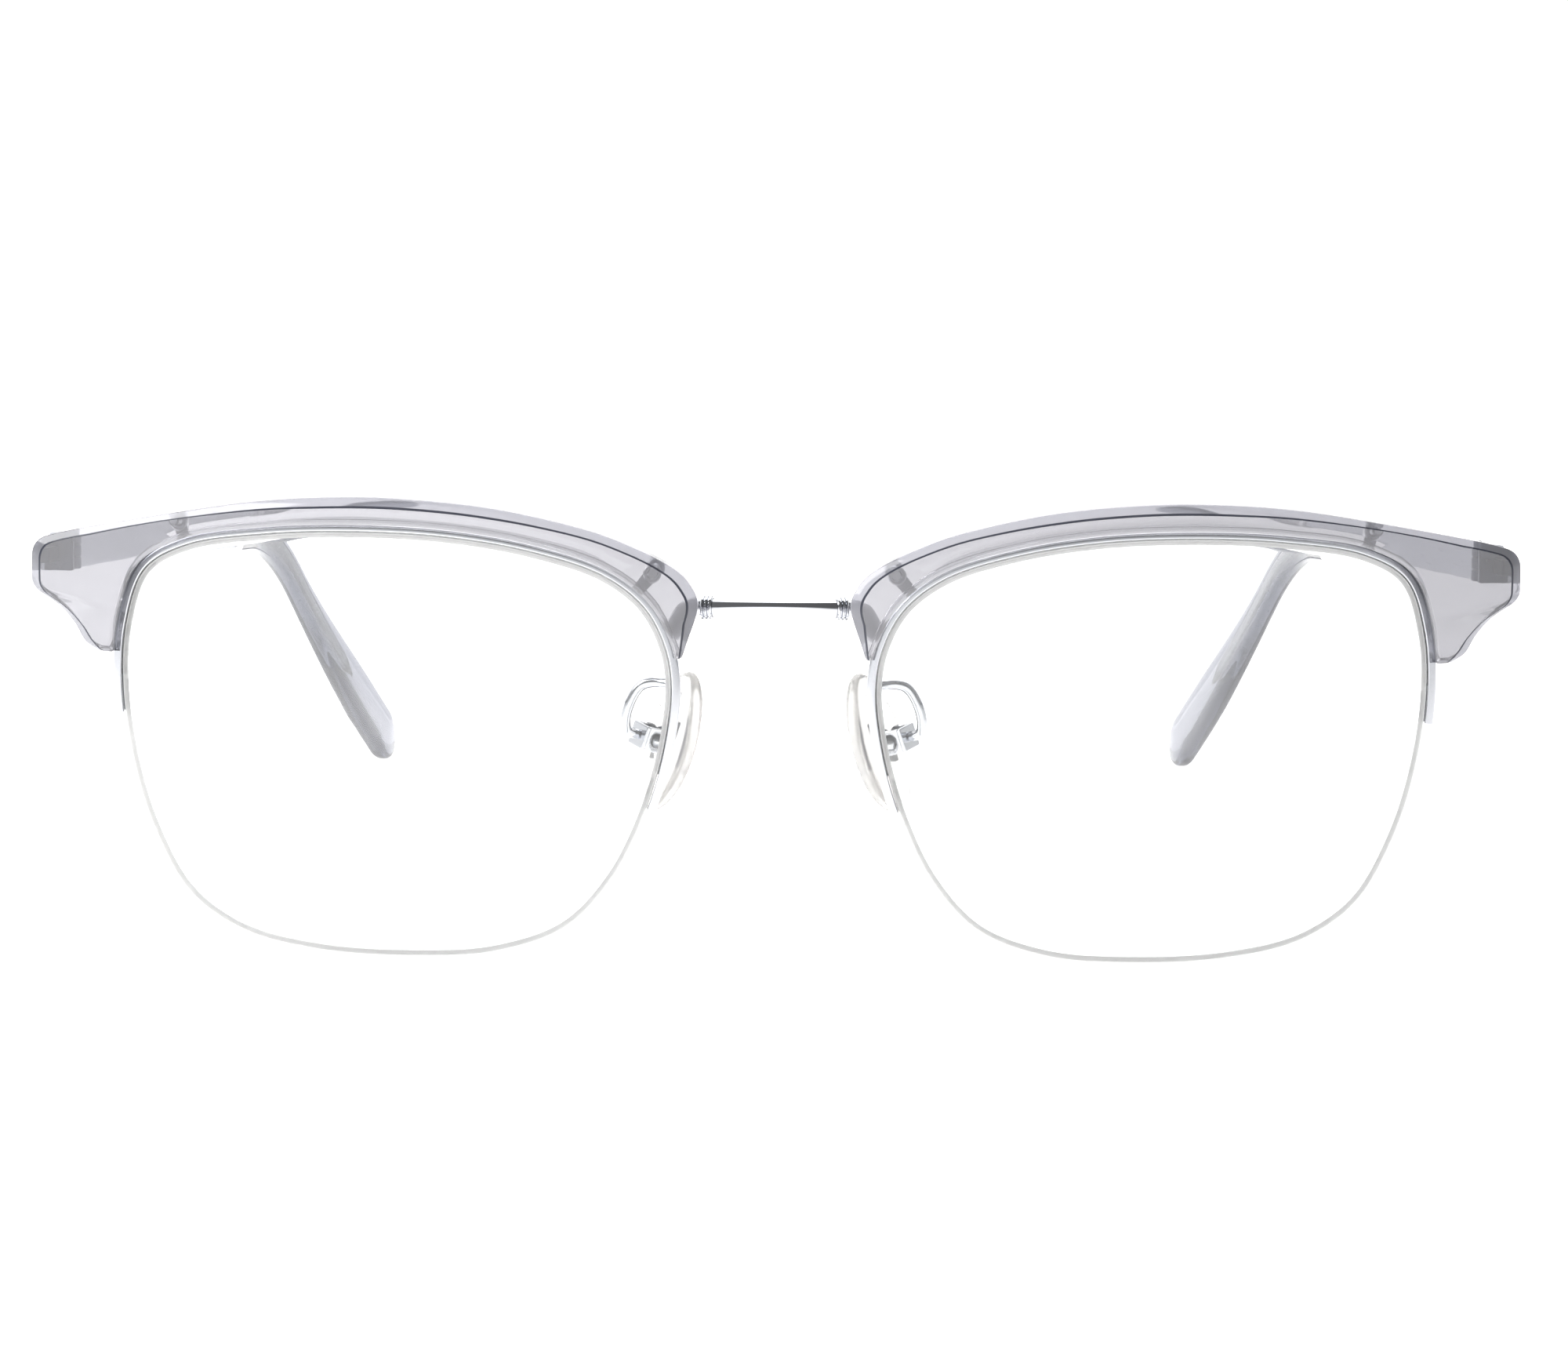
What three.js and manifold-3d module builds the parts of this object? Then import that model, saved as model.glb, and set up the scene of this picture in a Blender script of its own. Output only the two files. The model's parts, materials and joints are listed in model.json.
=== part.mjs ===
// Half-rim browline eyeglasses: two acetate brow bars on a silver half-rim chassis, with lenses held by
// a nylon filament, a metal bridge, rocking nose pads and two folding temples with acetate tips.
// Millimetres. +Z up, X across the face, the front looks along -Y and the temples run towards +Y.
// "left" is the wearer's left, the +X half. The right half is its mirror image.
import * as THREE from "three";
import { mergeVertices } from "three/addons/utils/BufferGeometryUtils.js";
import Module from "manifold-3d";

// ---- Driving dimensions ----
const EYE_WIDTH = 52; // lens width
const EYE_HEIGHT = 40; // lens height
const NOSE_GAP = 19.2; // distance between the two lenses
const LENS_THICKNESS = 1.9;
const LENS_RADIUS = 150; // spherical curve of the lens surfaces
const FACE_FORM = 4; // degrees that each lens turns back towards its temple
const FILAMENT_DIAMETER = 0.5;
const FILAMENT_FIT = 0.06; // clearance round the filament in the groove of the lens edge

const RIM_DEPTH = 2.4; // metal half-rim, front to back
const RIM_HEIGHT = 0.8; // away from the lens edge
const RIM_GAP = 0.1; // from the lens edge to the rim
const SLOT_WIDTH = 1.3; // slot in the rim that holds the nylon liner
const SLOT_DEPTH = 0.4;
const RIM_END_NASAL = 14.3; // height at which the rim ends beside the nose
const RIM_END_TEMPORAL = 22.7; // and beside the temple
const FILAMENT_ENTRY = 3; // length of filament that is hidden in each rim end

const BROW_LIP = 0.72; // the brow starts this far from the lens edge, in front of the rim
const BROW_FRONT = 2.6; // front face of the brow, ahead of the rim's centre
const BROW_BACK = 2.4; // back of the end piece, behind the rim's centre
const BROW_BEVEL = 1.1; // bevel round the brow's front face
const BROW_BEVEL_DEPTH = 0.8;
const BROW_EDGE = 0.25; // small bevel of every other brow edge
const BROW_FOOT = 11.6; // both feet of the brow, below the lens top
const TOE_TEMPORAL = 1.1; // acetate outside the rim at the foot beside the temple
const TOE_NASAL = 0.4; // and beside the nose
const BROW_NASAL = 2.5; // reach of the brow past the lens, towards the nose
const END_PIECE = 9; // reach of the end piece past the lens
const END_BOTTOM = 6.1; // underside of the end piece, below the lens top

const BRIDGE_BAR = 1.7; // bar diameter at its ends
const BRIDGE_WAIST = 1.3; // bar height at its middle: the top is level and the underside arches
const BRIDGE_BELOW_TOP = 7; // bridge centre below the lens top
const BRIDGE_FORWARD = 0.7; // middle of the bar, ahead of its ends
const COLLAR_LENGTH = 1.05;
const COLLAR_DIAMETER = 2.3;
const COLLAR_GAP = 0.25; // from the collar to the brow
const FOOT_BELOW = 2.9; // the soldered foot, below the bar
const FOOT_THICKNESS = 0.9;

const HINGE_INSET = 3.3; // hinge axis, in from the end of the end piece
const HINGE_BELOW_TOP = 2.7; // hinge centre below the lens top
const HINGE_STANDOFF = 2.1; // hinge axis, behind the end piece
const KNUCKLE_RADIUS = 0.95;
const KNUCKLE_HEIGHT = 1.1;
const KNUCKLE_GAP = 0.07;
const PLATE_WIDTH = 3;
const PLATE_DEPTH = 0.65; // hinge plate, sunk in the acetate
const HINGE_SCREW_RADIUS = 0.48;
const LEAF_THICKNESS = 0.45;
const LEAF_LENGTH = 6;

const TEMPLE_LENGTH = 143; // hinge to tip, along the temple
const BEND_AT = 95; // hinge to the middle of the ear bend
const BEND_RADIUS = 30;
const TOE_IN = 2.1; // degrees that the open temples close in towards each other
const TEMPLE_SLOPE = 2.3; // degrees below level while the glasses rest on a table
const DROP_ANGLE = 41.7; // degrees below level behind the ear
const TIP_INSET = 9.5; // how far the tip curves in towards the head
const SHAFT_THICKNESS = 1.4;
const SHAFT_HEIGHT = 3.7;
const CORE_THICKNESS = 1; // the part of the shaft that runs on inside the tip
const CORE_HEIGHT = 2.4;
const CORE_END = 17; // the core stops this far before the end of the tip
const SLEEVE_LENGTH = 66; // acetate tip
const SLEEVE_THICKNESS = 2.4; // at its mouth
const SLEEVE_HEIGHT = 4.4;
const PADDLE_THICKNESS = 2.8; // at its widest
const PADDLE_HEIGHT = 7.8;

const PAD_LENGTH = 14;
const PAD_WIDTH = 7.4;
const PAD_THICKNESS = 2.3;
const PAD_OUT = 2.1; // pad screw, out from the lens's nasal edge,
const PAD_BACK = 7.2; // behind the front
const PAD_BELOW = 19.8; // and below the lens top
const ARM_BELOW = 5.2; // root of the pad arm, below the bridge's foot
const PAD_SPLAY = 35; // degrees that the pad face turns back, seen from above
const PAD_LEAN = 18; // degrees that the pad's top leans in, seen from the front
const EAR_RADIUS = 1.25;
const EAR_THICKNESS = 0.4;
const LUG_WIDTH = 1.5;
const PAD_SCREW_RADIUS = 0.42;
const ARM_DIAMETER = 1;

const SCREW_SHANK = 0.5; // radius of the brow screws
const SCREW_HEAD = 0.9;
const SCREW_GRIP = 1.7; // length of brow screw in the acetate
const INNER_SCREW_RISE = 1.3; // the inner brow screw, above the bridge
const TAB_SIZE = 2.4; // rim tab under each brow screw
const TAB_THICKNESS = 0.6;

const FIT = 0.1; // clearance between fixed neighbours
const RUNNING_FIT = 0.07; // radial clearance round a pivot screw
const OUTLINE_STEPS = 72; // steps round a whole lens

// ---- Places that follow from the driving dimensions ----
const nasalX = NOSE_GAP / 2;
const templeX = nasalX + EYE_WIDTH;
const lensCentre = { x: nasalX + EYE_WIDTH / 2, z: EYE_HEIGHT / 2 };
const rimOuter = RIM_GAP + RIM_HEIGHT;
const rimBack = RIM_DEPTH / 2;
const browFootZ = EYE_HEIGHT - BROW_FOOT;
const bridgeZ = EYE_HEIGHT - BRIDGE_BELOW_TOP;
const bridgeHalf = nasalX - BROW_NASAL - COLLAR_GAP - COLLAR_LENGTH; // half the bar, up to the collar
const grooveHalf = FILAMENT_DIAMETER / 2 + FILAMENT_FIT;
const grooveDepth = FILAMENT_DIAMETER + FILAMENT_FIT;
const rad = THREE.MathUtils.degToRad;

const clear = (color, roughness, opacity) =>
  new THREE.MeshStandardMaterial({ color, roughness, opacity, transparent: true });
const acetate = clear(0xb4b6be, 0.12, 0.72);
const silver = new THREE.MeshStandardMaterial({ color: 0xd8dade, roughness: 0.18, metalness: 1 });
const glass = clear(0xf3f8f8, 0.03, 0.3);
const nylon = clear(0xf1f2f0, 0.3, 0.8);
const silicone = clear(0xf1eee6, 0.35, 0.7);

// ---- Solids: lofts, and joins and cuts between closed meshes ----
const wasm = await Module();
wasm.setup();

function toSolid(geometry) {
  const bare = geometry.index ? geometry.toNonIndexed() : geometry.clone();
  bare.deleteAttribute("normal");
  bare.deleteAttribute("uv");
  const merged = mergeVertices(bare, 1e-4);
  return new wasm.Manifold(
    new wasm.Mesh({
      numProp: 3,
      vertProperties: merged.attributes.position.array,
      triVerts: new Uint32Array(merged.index.array),
    }),
  );
}

function toGeometry(solid) {
  const mesh = solid.getMesh();
  const geometry = new THREE.BufferGeometry();
  geometry.setAttribute("position", new THREE.BufferAttribute(new Float32Array(mesh.vertProperties), 3));
  geometry.setIndex(new THREE.BufferAttribute(new Uint32Array(mesh.triVerts), 1));
  return geometry;
}

const join = (first, ...rest) => toGeometry(rest.reduce((all, g) => all.add(toSolid(g)), toSolid(first)));
const cut = (first, ...tools) =>
  toGeometry(tools.reduce((left, g) => left.subtract(toSolid(g)), toSolid(first)));

// Triangles that close a ring of points, wound the way the ring runs.
function capOf(ring) {
  const normal = new THREE.Vector3();
  ring.forEach((p, i) => normal.add(new THREE.Vector3().crossVectors(p, ring[(i + 1) % ring.length])));
  const flatOnTable = Math.abs(normal.z) > 0.9 * normal.length();
  const helper = new THREE.Vector3(flatOnTable ? 1 : 0, 0, flatOnTable ? 0 : 1);
  const across = new THREE.Vector3().crossVectors(helper, normal).normalize();
  const up = new THREE.Vector3().crossVectors(normal, across).normalize();
  const flat = ring.map((p) => new THREE.Vector2(p.dot(across), p.dot(up)));
  return THREE.ShapeUtils.triangulateShape(flat, []).map(([a, b, c]) => {
    const [first, second] = [b, c].map((i) => new THREE.Vector2().subVectors(flat[i], flat[a]));
    return first.cross(second) > 0 ? [a, b, c] : [a, c, b];
  });
}

// A closed skin over rings of equally many points. Each end is a flat cap, or a fan to the given tip point.
function loft(rings, tips = {}) {
  const count = rings[0].length;
  const points = rings.flat();
  const faces = [];
  for (let k = 0; k + 1 < rings.length; k++)
    for (let j = 0; j < count; j++) {
      const [a, b] = [k * count + j, k * count + ((j + 1) % count)];
      faces.push([a, b, b + count], [a, b + count, a + count]);
    }
  const close = (ring, offset, tip, forward) => {
    let triangles = capOf(ring);
    if (tip) {
      points.push(tip);
      triangles = ring.map((_, j) => [j, (j + 1) % count, points.length - 1 - offset]);
    }
    for (const [a, b, c] of triangles)
      faces.push([a, forward ? b : c, forward ? c : b].map((i) => i + offset));
  };
  close(rings[0], 0, tips.first, false);
  close(rings.at(-1), (rings.length - 1) * count, tips.last, true);
  const volumeUnder = ([a, b, c]) => points[a].dot(points[b].clone().cross(points[c]));
  const volume = faces.reduce((sum, face) => sum + volumeUnder(face), 0);
  const geometry = new THREE.BufferGeometry().setFromPoints(points);
  geometry.setIndex(faces.flatMap(([a, b, c]) => (volume > 0 ? [a, b, c] : [a, c, b])));
  return geometry;
}

function box(x0, x1, y0, y1, z0, z1) {
  const geometry = new THREE.BoxGeometry(x1 - x0, y1 - y0, z1 - z0);
  return geometry.translate((x0 + x1) / 2, (y0 + y1) / 2, (z0 + z1) / 2);
}

// An upright cylinder from z0 to z1.
function post(radius, z0, z1, sides = 16) {
  const geometry = new THREE.CylinderGeometry(radius, radius, z1 - z0, sides);
  return geometry.rotateX(Math.PI / 2).translate(0, 0, (z0 + z1) / 2);
}

// A slotted screw along Z: its shank from shankEnd up to the head's seat, and the head on top.
function slottedScrew(shankRadius, headRadius, shankEnd, seat) {
  const headHeight = headRadius * 0.5;
  const profile = [
    [0, shankEnd],
    [shankRadius * 0.8, shankEnd],
    [shankRadius, shankEnd + 0.15],
    [shankRadius, seat],
    [headRadius, seat],
    [headRadius, seat + headHeight * 0.6],
    [headRadius * 0.75, seat + headHeight],
    [0, seat + headHeight],
  ].map(([r, z]) => new THREE.Vector2(r, z));
  const body = new THREE.LatheGeometry(profile, 16).rotateX(Math.PI / 2);
  const slot = headRadius * 0.14;
  const floor = seat + headHeight * 0.55;
  return cut(body, box(-headRadius - 1, headRadius + 1, -slot, slot, floor, floor + 2));
}

// ---- The curved sheet that every front part lies on ----
// Depth of the front at a place on it: a sphere round the lens centre, leaned back towards the temple.
function sweepBack(x, z) {
  const [dx, dz] = [x - lensCentre.x, z - lensCentre.z];
  return (dx * dx + dz * dz) / (2 * LENS_RADIUS) + dx * Math.tan(rad(FACE_FORM));
}
const slopeX = (x) => (x - lensCentre.x) / LENS_RADIUS + Math.tan(rad(FACE_FORM));
const slopeZ = (z) => (z - lensCentre.z) / LENS_RADIUS;
const onFront = (x, depth, z) => new THREE.Vector3(x, depth + sweepBack(x, z), z);

// A group whose own Y axis stands square to the front at a place on it.
function groupOnFront(x, depth, z) {
  const across = new THREE.Vector3(1, slopeX(x), 0).normalize();
  const back = new THREE.Vector3(-slopeX(x), 1, -slopeZ(z)).normalize();
  const group = new THREE.Group();
  const up = new THREE.Vector3().crossVectors(across, back);
  group.quaternion.setFromRotationMatrix(new THREE.Matrix4().makeBasis(across, back, up));
  group.position.copy(onFront(x, depth, z));
  return group;
}

// The lens outline, as shares of its width from the nasal edge and of its height, from the bottom round
// past the temple side, over the top and down beside the nose.
const OUTLINE = [
  [0.46, 0], [0.642, 0.01], [0.781, 0.052], [0.879, 0.14], [0.942, 0.285], [0.981, 0.45], [1, 0.637],
  [0.992, 0.787], [0.958, 0.905], [0.881, 0.962], [0.738, 0.991], [0.575, 1], [0.402, 0.99],
  [0.248, 0.957], [0.123, 0.904], [0.05, 0.832], [0.012, 0.74], [0, 0.645], [0.013, 0.5], [0.046, 0.35],
  [0.104, 0.195], [0.19, 0.075], [0.315, 0.015],
];
const outline = new THREE.CatmullRomCurve3(
  OUTLINE.map(([x, z]) => new THREE.Vector3(nasalX + x * EYE_WIDTH, 0, z * EYE_HEIGHT)),
  true,
  "centripetal",
);
outline.arcLengthDivisions = 1200;
const outlineLength = outline.getLength();
const wrap = (u) => ((u % 1) + 1) % 1;

// A point beside the lens edge: away from the lens by `out`, and back by `depth`.
function beside(u, out, depth) {
  const point = outline.getPointAt(wrap(u));
  const along = outline.getTangentAt(wrap(u)).normalize();
  return onFront(point.x + along.z * out, depth, point.z - along.x * out);
}

// Where the outline passes a height, on the temple side (the first half) or beside the nose (the second).
function placeAtHeight(height, [low, high]) {
  const rising = outline.getPointAt(low).z < outline.getPointAt(high).z;
  for (let i = 0; i < 40; i++) {
    const middle = (low + high) / 2;
    if (outline.getPointAt(middle).z < height === rising) low = middle;
    else high = middle;
  }
  return low;
}
const TEMPLE_SIDE = [0.05, 0.4];
const NOSE_SIDE = [0.65, 0.95];

// Shared stations round the outline, so that neighbours have the same facets.
function stations(from, to, steps = OUTLINE_STEPS) {
  const inner = [];
  for (let k = Math.ceil(from * steps + 0.2); k < to * steps - 0.2; k++) inner.push(k / steps);
  return [from, ...inner, to];
}

const sweepRound = (from, to, section) =>
  loft(stations(from, to).map((u) => section.map(([out, depth]) => beside(u, out, depth))));

const rimStart = placeAtHeight(RIM_END_TEMPORAL, TEMPLE_SIDE);
const rimEnd = placeAtHeight(RIM_END_NASAL, NOSE_SIDE);
const browStart = placeAtHeight(browFootZ, TEMPLE_SIDE);
const browEnd = placeAtHeight(browFootZ, NOSE_SIDE);

// ---- Lens, filament, liner and half-rim ----
function lensGeometry() {
  const half = LENS_THICKNESS / 2;
  const round = stations(0, 1).slice(0, -1);
  const disc = (share, depth) =>
    round.map((u) => {
      const edge = outline.getPointAt(u);
      const x = lensCentre.x + (edge.x - lensCentre.x) * share;
      return onFront(x, depth, lensCentre.z + (edge.z - lensCentre.z) * share);
    });
  const edge = (out, depth) => round.map((u) => beside(u, out, depth));
  const g = grooveHalf;
  const rings = [
    disc(0.52, -half), edge(-0.15, -half), edge(0, -half + 0.15), edge(0, -g),
    edge(-grooveDepth, -g), edge(-grooveDepth, g), edge(0, g), edge(0, half - 0.15), edge(-0.15, half),
    disc(0.52, half),
  ];
  return loft(rings, {
    first: onFront(lensCentre.x, -half, lensCentre.z),
    last: onFront(lensCentre.x, half, lensCentre.z),
  });
}

function filamentGeometry() {
  const radius = FILAMENT_DIAMETER / 2;
  const section = [];
  for (let i = 0; i < 8; i++) {
    const angle = ((i + 0.5) * Math.PI) / 4;
    section.push([-radius - 0.01 + radius * Math.cos(angle), radius * Math.sin(angle)]);
  }
  const entry = FILAMENT_ENTRY / outlineLength;
  return sweepRound(rimEnd - entry, 1 + rimStart + entry, section);
}

function linerGeometry() {
  const body = SLOT_WIDTH / 2 - FIT / 2;
  const bead = grooveHalf - FIT;
  const seat = RIM_GAP + SLOT_DEPTH - FIT;
  const lip = RIM_GAP / 2;
  const depth = -grooveDepth + 2 * FIT;
  const section = [
    [depth, -bead], [lip, -bead], [lip, -body], [seat, -body],
    [seat, body], [lip, body], [lip, bead], [depth, bead],
  ];
  const clear = (FILAMENT_ENTRY + 0.5) / outlineLength;
  return sweepRound(rimStart + clear, rimEnd - clear, section);
}

// Brow screws hold the brow to a tab on the rim: their places round the outline, and out from the lens edge.
const browScrews = [
  { name: "outer", u: 0.392, out: 2.1 },
  { name: "inner", u: placeAtHeight(bridgeZ + INNER_SCREW_RISE, NOSE_SIDE), out: 2.5 },
];
// The back of the brow is flush with the rim beside the nose, and thickens to the end piece.
const flushBack = rimBack + 0.05;
const THICKENS = [0.5, 0.345]; // places round the outline between which it thickens
function browBackAt(u) {
  const share = THREE.MathUtils.smoothstep(THICKENS[0] - u, 0, THICKENS[0] - THICKENS[1]);
  return flushBack + (BROW_BACK - flushBack) * share;
}

function screwSeat({ u, out }) {
  const flat = beside(u, out, 0);
  return groupOnFront(flat.x, browBackAt(u) + FIT, flat.z);
}

function placed(geometry, group) {
  group.updateMatrix();
  return geometry.applyMatrix4(group.matrix);
}

// One tab: a plate behind the brow, and the step that joins it to the rim.
function tabGeometry(screw) {
  const h = TAB_SIZE / 2;
  const hole = post(SCREW_SHANK + RUNNING_FIT, -2, 2).rotateX(-Math.PI / 2);
  const plate = placed(cut(box(-h, h, 0, TAB_THICKNESS, -h, h), hole), screwSeat(screw));
  const half = TAB_SIZE / 2 / outlineLength;
  const back = browBackAt(screw.u) + FIT;
  const step = [
    [RIM_GAP + 0.1, rimBack - 0.3], [rimOuter - 0.05, rimBack - 0.3], [rimOuter - 0.05, back + 0.05],
    [screw.out - 0.9, back + 0.05], [screw.out - 0.9, back + 0.5], [RIM_GAP + 0.1, back + 0.5],
  ];
  return join(plate, sweepRound(screw.u - half, screw.u + half, step));
}

function rimGeometry() {
  const slot = SLOT_WIDTH / 2;
  const floor = RIM_GAP + SLOT_DEPTH;
  const section = [
    [RIM_GAP, -rimBack], [rimOuter, -rimBack], [rimOuter, rimBack], [RIM_GAP, rimBack],
    [RIM_GAP, slot], [floor, slot], [floor, -slot], [RIM_GAP, -slot],
  ];
  return join(sweepRound(rimStart, rimEnd, section), ...browScrews.map(tabGeometry));
}

// ---- Brow bar ----
// The brow's outer edge, seen from the front, from the foot of the end piece up and over to the nose.
function browEdge() {
  const [A, B, N, T] = [EYE_WIDTH, EYE_HEIGHT, nasalX, templeX];
  const end = T + END_PIECE;
  const at = (x, z) => new THREE.Vector2(x, z);
  const low = (share) => B - END_BOTTOM - (BROW_FOOT - END_BOTTOM) * share;
  const outerFoot = beside(browStart, rimOuter + FIT + TOE_TEMPORAL, 0);
  const innerFoot = beside(browEnd, rimOuter + FIT + TOE_NASAL, 0);
  const path = new THREE.Path();
  path.moveTo(outerFoot.x, outerFoot.z);
  path.splineThru([
    at(end - 5.5, low(0.82)), at(end - 4.4, low(0.51)), at(end - 2.9, low(0.23)), at(end - 0.85, low(0)),
  ]);
  path.quadraticCurveTo(end, B - 5.5, end, B - 4.6);
  path.lineTo(end, B - 2.8);
  path.quadraticCurveTo(end, B - 1.2, end - 1.6, B - 0.8);
  path.splineThru([
    at(T + 4.4, B - 0.1), at(N + 0.923 * A, B + 1.4), at(N + 0.746 * A, B + 2.8), at(N + 0.59 * A, B + 3.3),
    at(N + 0.458 * A, B + 3.15), at(N + 0.306 * A, B + 2.3), at(N + 0.155 * A, B + 0.55), at(N + 3.2, B - 1.25),
    at(N - 0.15, B - 3), at(N + 0.7 - BROW_NASAL, B - 4.6), at(N - BROW_NASAL, B - 6.6),
    at(N + 1 - BROW_NASAL, low(0.7)), at(innerFoot.x, innerFoot.z),
  ]);
  return path;
}

const BROW_CORNER = { outline: 0.36, edge: 0.215 }; // the end piece turns into the bar here
function browGeometry() {
  const edge = browEdge();
  edge.arcLengthDivisions = 400;
  const endPiece = stations(browStart, BROW_CORNER.outline, 3 * OUTLINE_STEPS);
  const bar = stations(BROW_CORNER.outline, browEnd).slice(1);
  const rings = [...endPiece, ...bar].map((u) => {
    const onEndPiece = THREE.MathUtils.mapLinear(u, browStart, BROW_CORNER.outline, 0, BROW_CORNER.edge);
    const onBar = THREE.MathUtils.mapLinear(u, BROW_CORNER.outline, browEnd, BROW_CORNER.edge, 1);
    const share = u < BROW_CORNER.outline ? onEndPiece : onBar;
    const outer = edge.getPointAt(Math.min(share, 0.9999));
    const lip = beside(u, BROW_LIP, 0);
    const inward = new THREE.Vector2(lip.x - outer.x, lip.z - outer.y);
    const width = inward.length();
    inward.normalize();
    const bevel = Math.min(BROW_BEVEL, 0.35 * width);
    const fromEdge = (inset, depth) =>
      onFront(outer.x + inward.x * inset, depth, outer.y + inward.y * inset);
    const step = -rimBack - FIT;
    const behindRim = Math.min(rimOuter + FIT, BROW_LIP + 0.62 * width);
    const back = browBackAt(u);
    return [
      beside(u, BROW_LIP + Math.min(BROW_EDGE, 0.2 * width), -BROW_FRONT),
      beside(u, BROW_LIP, -BROW_FRONT + BROW_EDGE),
      beside(u, BROW_LIP, step),
      beside(u, behindRim, step),
      beside(u, behindRim, back),
      fromEdge(Math.min(BROW_EDGE, 0.15 * width), back),
      fromEdge(0, back - BROW_EDGE),
      fromEdge(0, -BROW_FRONT + BROW_BEVEL_DEPTH),
      fromEdge(bevel, -BROW_FRONT),
    ];
  });
  return loft(rings);
}

// Tools that cut the brow: a hole for each screw, and the pocket of the hinge plate.
function browHole(screw) {
  const hole = post(SCREW_SHANK + RUNNING_FIT, -2, SCREW_GRIP + FIT + 0.2, 12).rotateX(Math.PI / 2);
  return placed(hole, screwSeat(screw));
}

// ---- Hinge: a leaf in the end piece, a leaf on the temple and the screw that joins them ----
const hinge = { x: templeX + END_PIECE - HINGE_INSET, z: EYE_HEIGHT - HINGE_BELOW_TOP };
hinge.y = sweepBack(hinge.x, hinge.z) + BROW_BACK + HINGE_STANDOFF;
const leafTurn = Math.atan(slopeX(hinge.x));
const knuckleTop = KNUCKLE_HEIGHT * 1.5 + KNUCKLE_GAP;
const barrel = (z0, z1) => post(KNUCKLE_RADIUS, z0, z1);
const screwHole = () => post(HINGE_SCREW_RADIUS + RUNNING_FIT, -9, 9);

function hingePlate(margin) {
  const [w, h] = [PLATE_WIDTH / 2 + margin, knuckleTop + margin];
  return box(-w, w, -HINGE_STANDOFF - PLATE_DEPTH - margin, -HINGE_STANDOFF + (margin ? 3 : 0), -h, h);
}

function frontLeafGeometry() {
  const arms = [-1, 1].flatMap((side) => {
    const ends = [KNUCKLE_HEIGHT / 2 + KNUCKLE_GAP, knuckleTop].map((z) => z * side);
    const [z0, z1] = [Math.min(...ends), Math.max(...ends)];
    return [barrel(z0, z1), box(-0.7, 0.7, -HINGE_STANDOFF - 0.2, 0, z0, z1)];
  });
  return cut(join(hingePlate(0), ...arms), screwHole());
}

const leafFace = KNUCKLE_RADIUS + 0.25; // the temple leaf's outer face, out from the axis
function templeLeafGeometry() {
  const h = KNUCKLE_HEIGHT / 2;
  const arm = box(leafFace - 1, leafFace, -0.4, KNUCKLE_RADIUS + 1, -h, h);
  const [low, high] = [0.4 - SHAFT_HEIGHT / 2, SHAFT_HEIGHT / 2 - 0.6];
  const leaf = box(leafFace - LEAF_THICKNESS, leafFace, KNUCKLE_RADIUS + 0.35, LEAF_LENGTH, low, high);
  return cut(join(barrel(-h, h), arm, leaf), screwHole());
}

const hingeScrewGeometry = () =>
  slottedScrew(HINGE_SCREW_RADIUS, KNUCKLE_RADIUS - 0.05, -knuckleTop, knuckleTop + KNUCKLE_GAP);

// ---- Temple: a flat metal shaft whose core runs on inside an acetate tip ----
// The temple's centre line from the hinge, straight, round the ear bend and straight again.
const bend = { from: rad(TEMPLE_SLOPE), to: rad(DROP_ANGLE) };
bend.length = BEND_RADIUS * (bend.to - bend.from);
bend.start = BEND_AT - bend.length / 2;
const shaftX = leafFace + FIT + SHAFT_THICKNESS / 2;

function templeAxis(s) {
  const before = Math.min(s, bend.start);
  const turned = THREE.MathUtils.clamp((s - bend.start) / bend.length, 0, 1);
  const angle = bend.from + (bend.to - bend.from) * turned;
  const after = Math.max(0, s - bend.start - bend.length);
  const y = before * Math.cos(bend.from) + BEND_RADIUS * (Math.sin(angle) - Math.sin(bend.from));
  const z = before * Math.sin(bend.from) + BEND_RADIUS * (Math.cos(bend.from) - Math.cos(angle));
  const curl = Math.max(0, (s - bend.start) / (TEMPLE_LENGTH - bend.start));
  return {
    x: shaftX - TIP_INSET * curl ** 1.5,
    y: y + after * Math.cos(angle),
    z: -z - after * Math.sin(angle),
    angle,
  };
}

// A ring square to the temple at s. Each section point is [inward or outward, across the height].
function templeRing(s, section) {
  const axis = templeAxis(s);
  return section.map(([side, up]) => {
    const [y, z] = [axis.y + up * Math.sin(axis.angle), axis.z + up * Math.cos(axis.angle)];
    return new THREE.Vector3(axis.x + side, y, z);
  });
}

function barSection(thickness, height) {
  const [t, h, c] = [thickness / 2, height / 2, thickness * 0.15];
  return [[t, h - c], [t - c, h], [c - t, h], [-t, h - c], [-t, c - h], [c - t, -h], [t - c, -h], [t, c - h]];
}

const sleeveStart = TEMPLE_LENGTH - SLEEVE_LENGTH;
const coreStop = TEMPLE_LENGTH - CORE_END;

// Places along the temple, closest together in the ear bend.
function templeStations(from, to) {
  const ends = [from, bend.start, bend.start + bend.length, to].map((s) => THREE.MathUtils.clamp(s, from, to));
  const places = [from];
  [BEND_AT, 2.6, 5].forEach((step, i) => {
    const length = ends[i + 1] - ends[i];
    const count = Math.ceil(length / step);
    for (let k = 1; k <= count; k++) places.push(ends[i] + (length * k) / count);
  });
  return places;
}
const coreStations = templeStations(sleeveStart, coreStop - 3);

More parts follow.
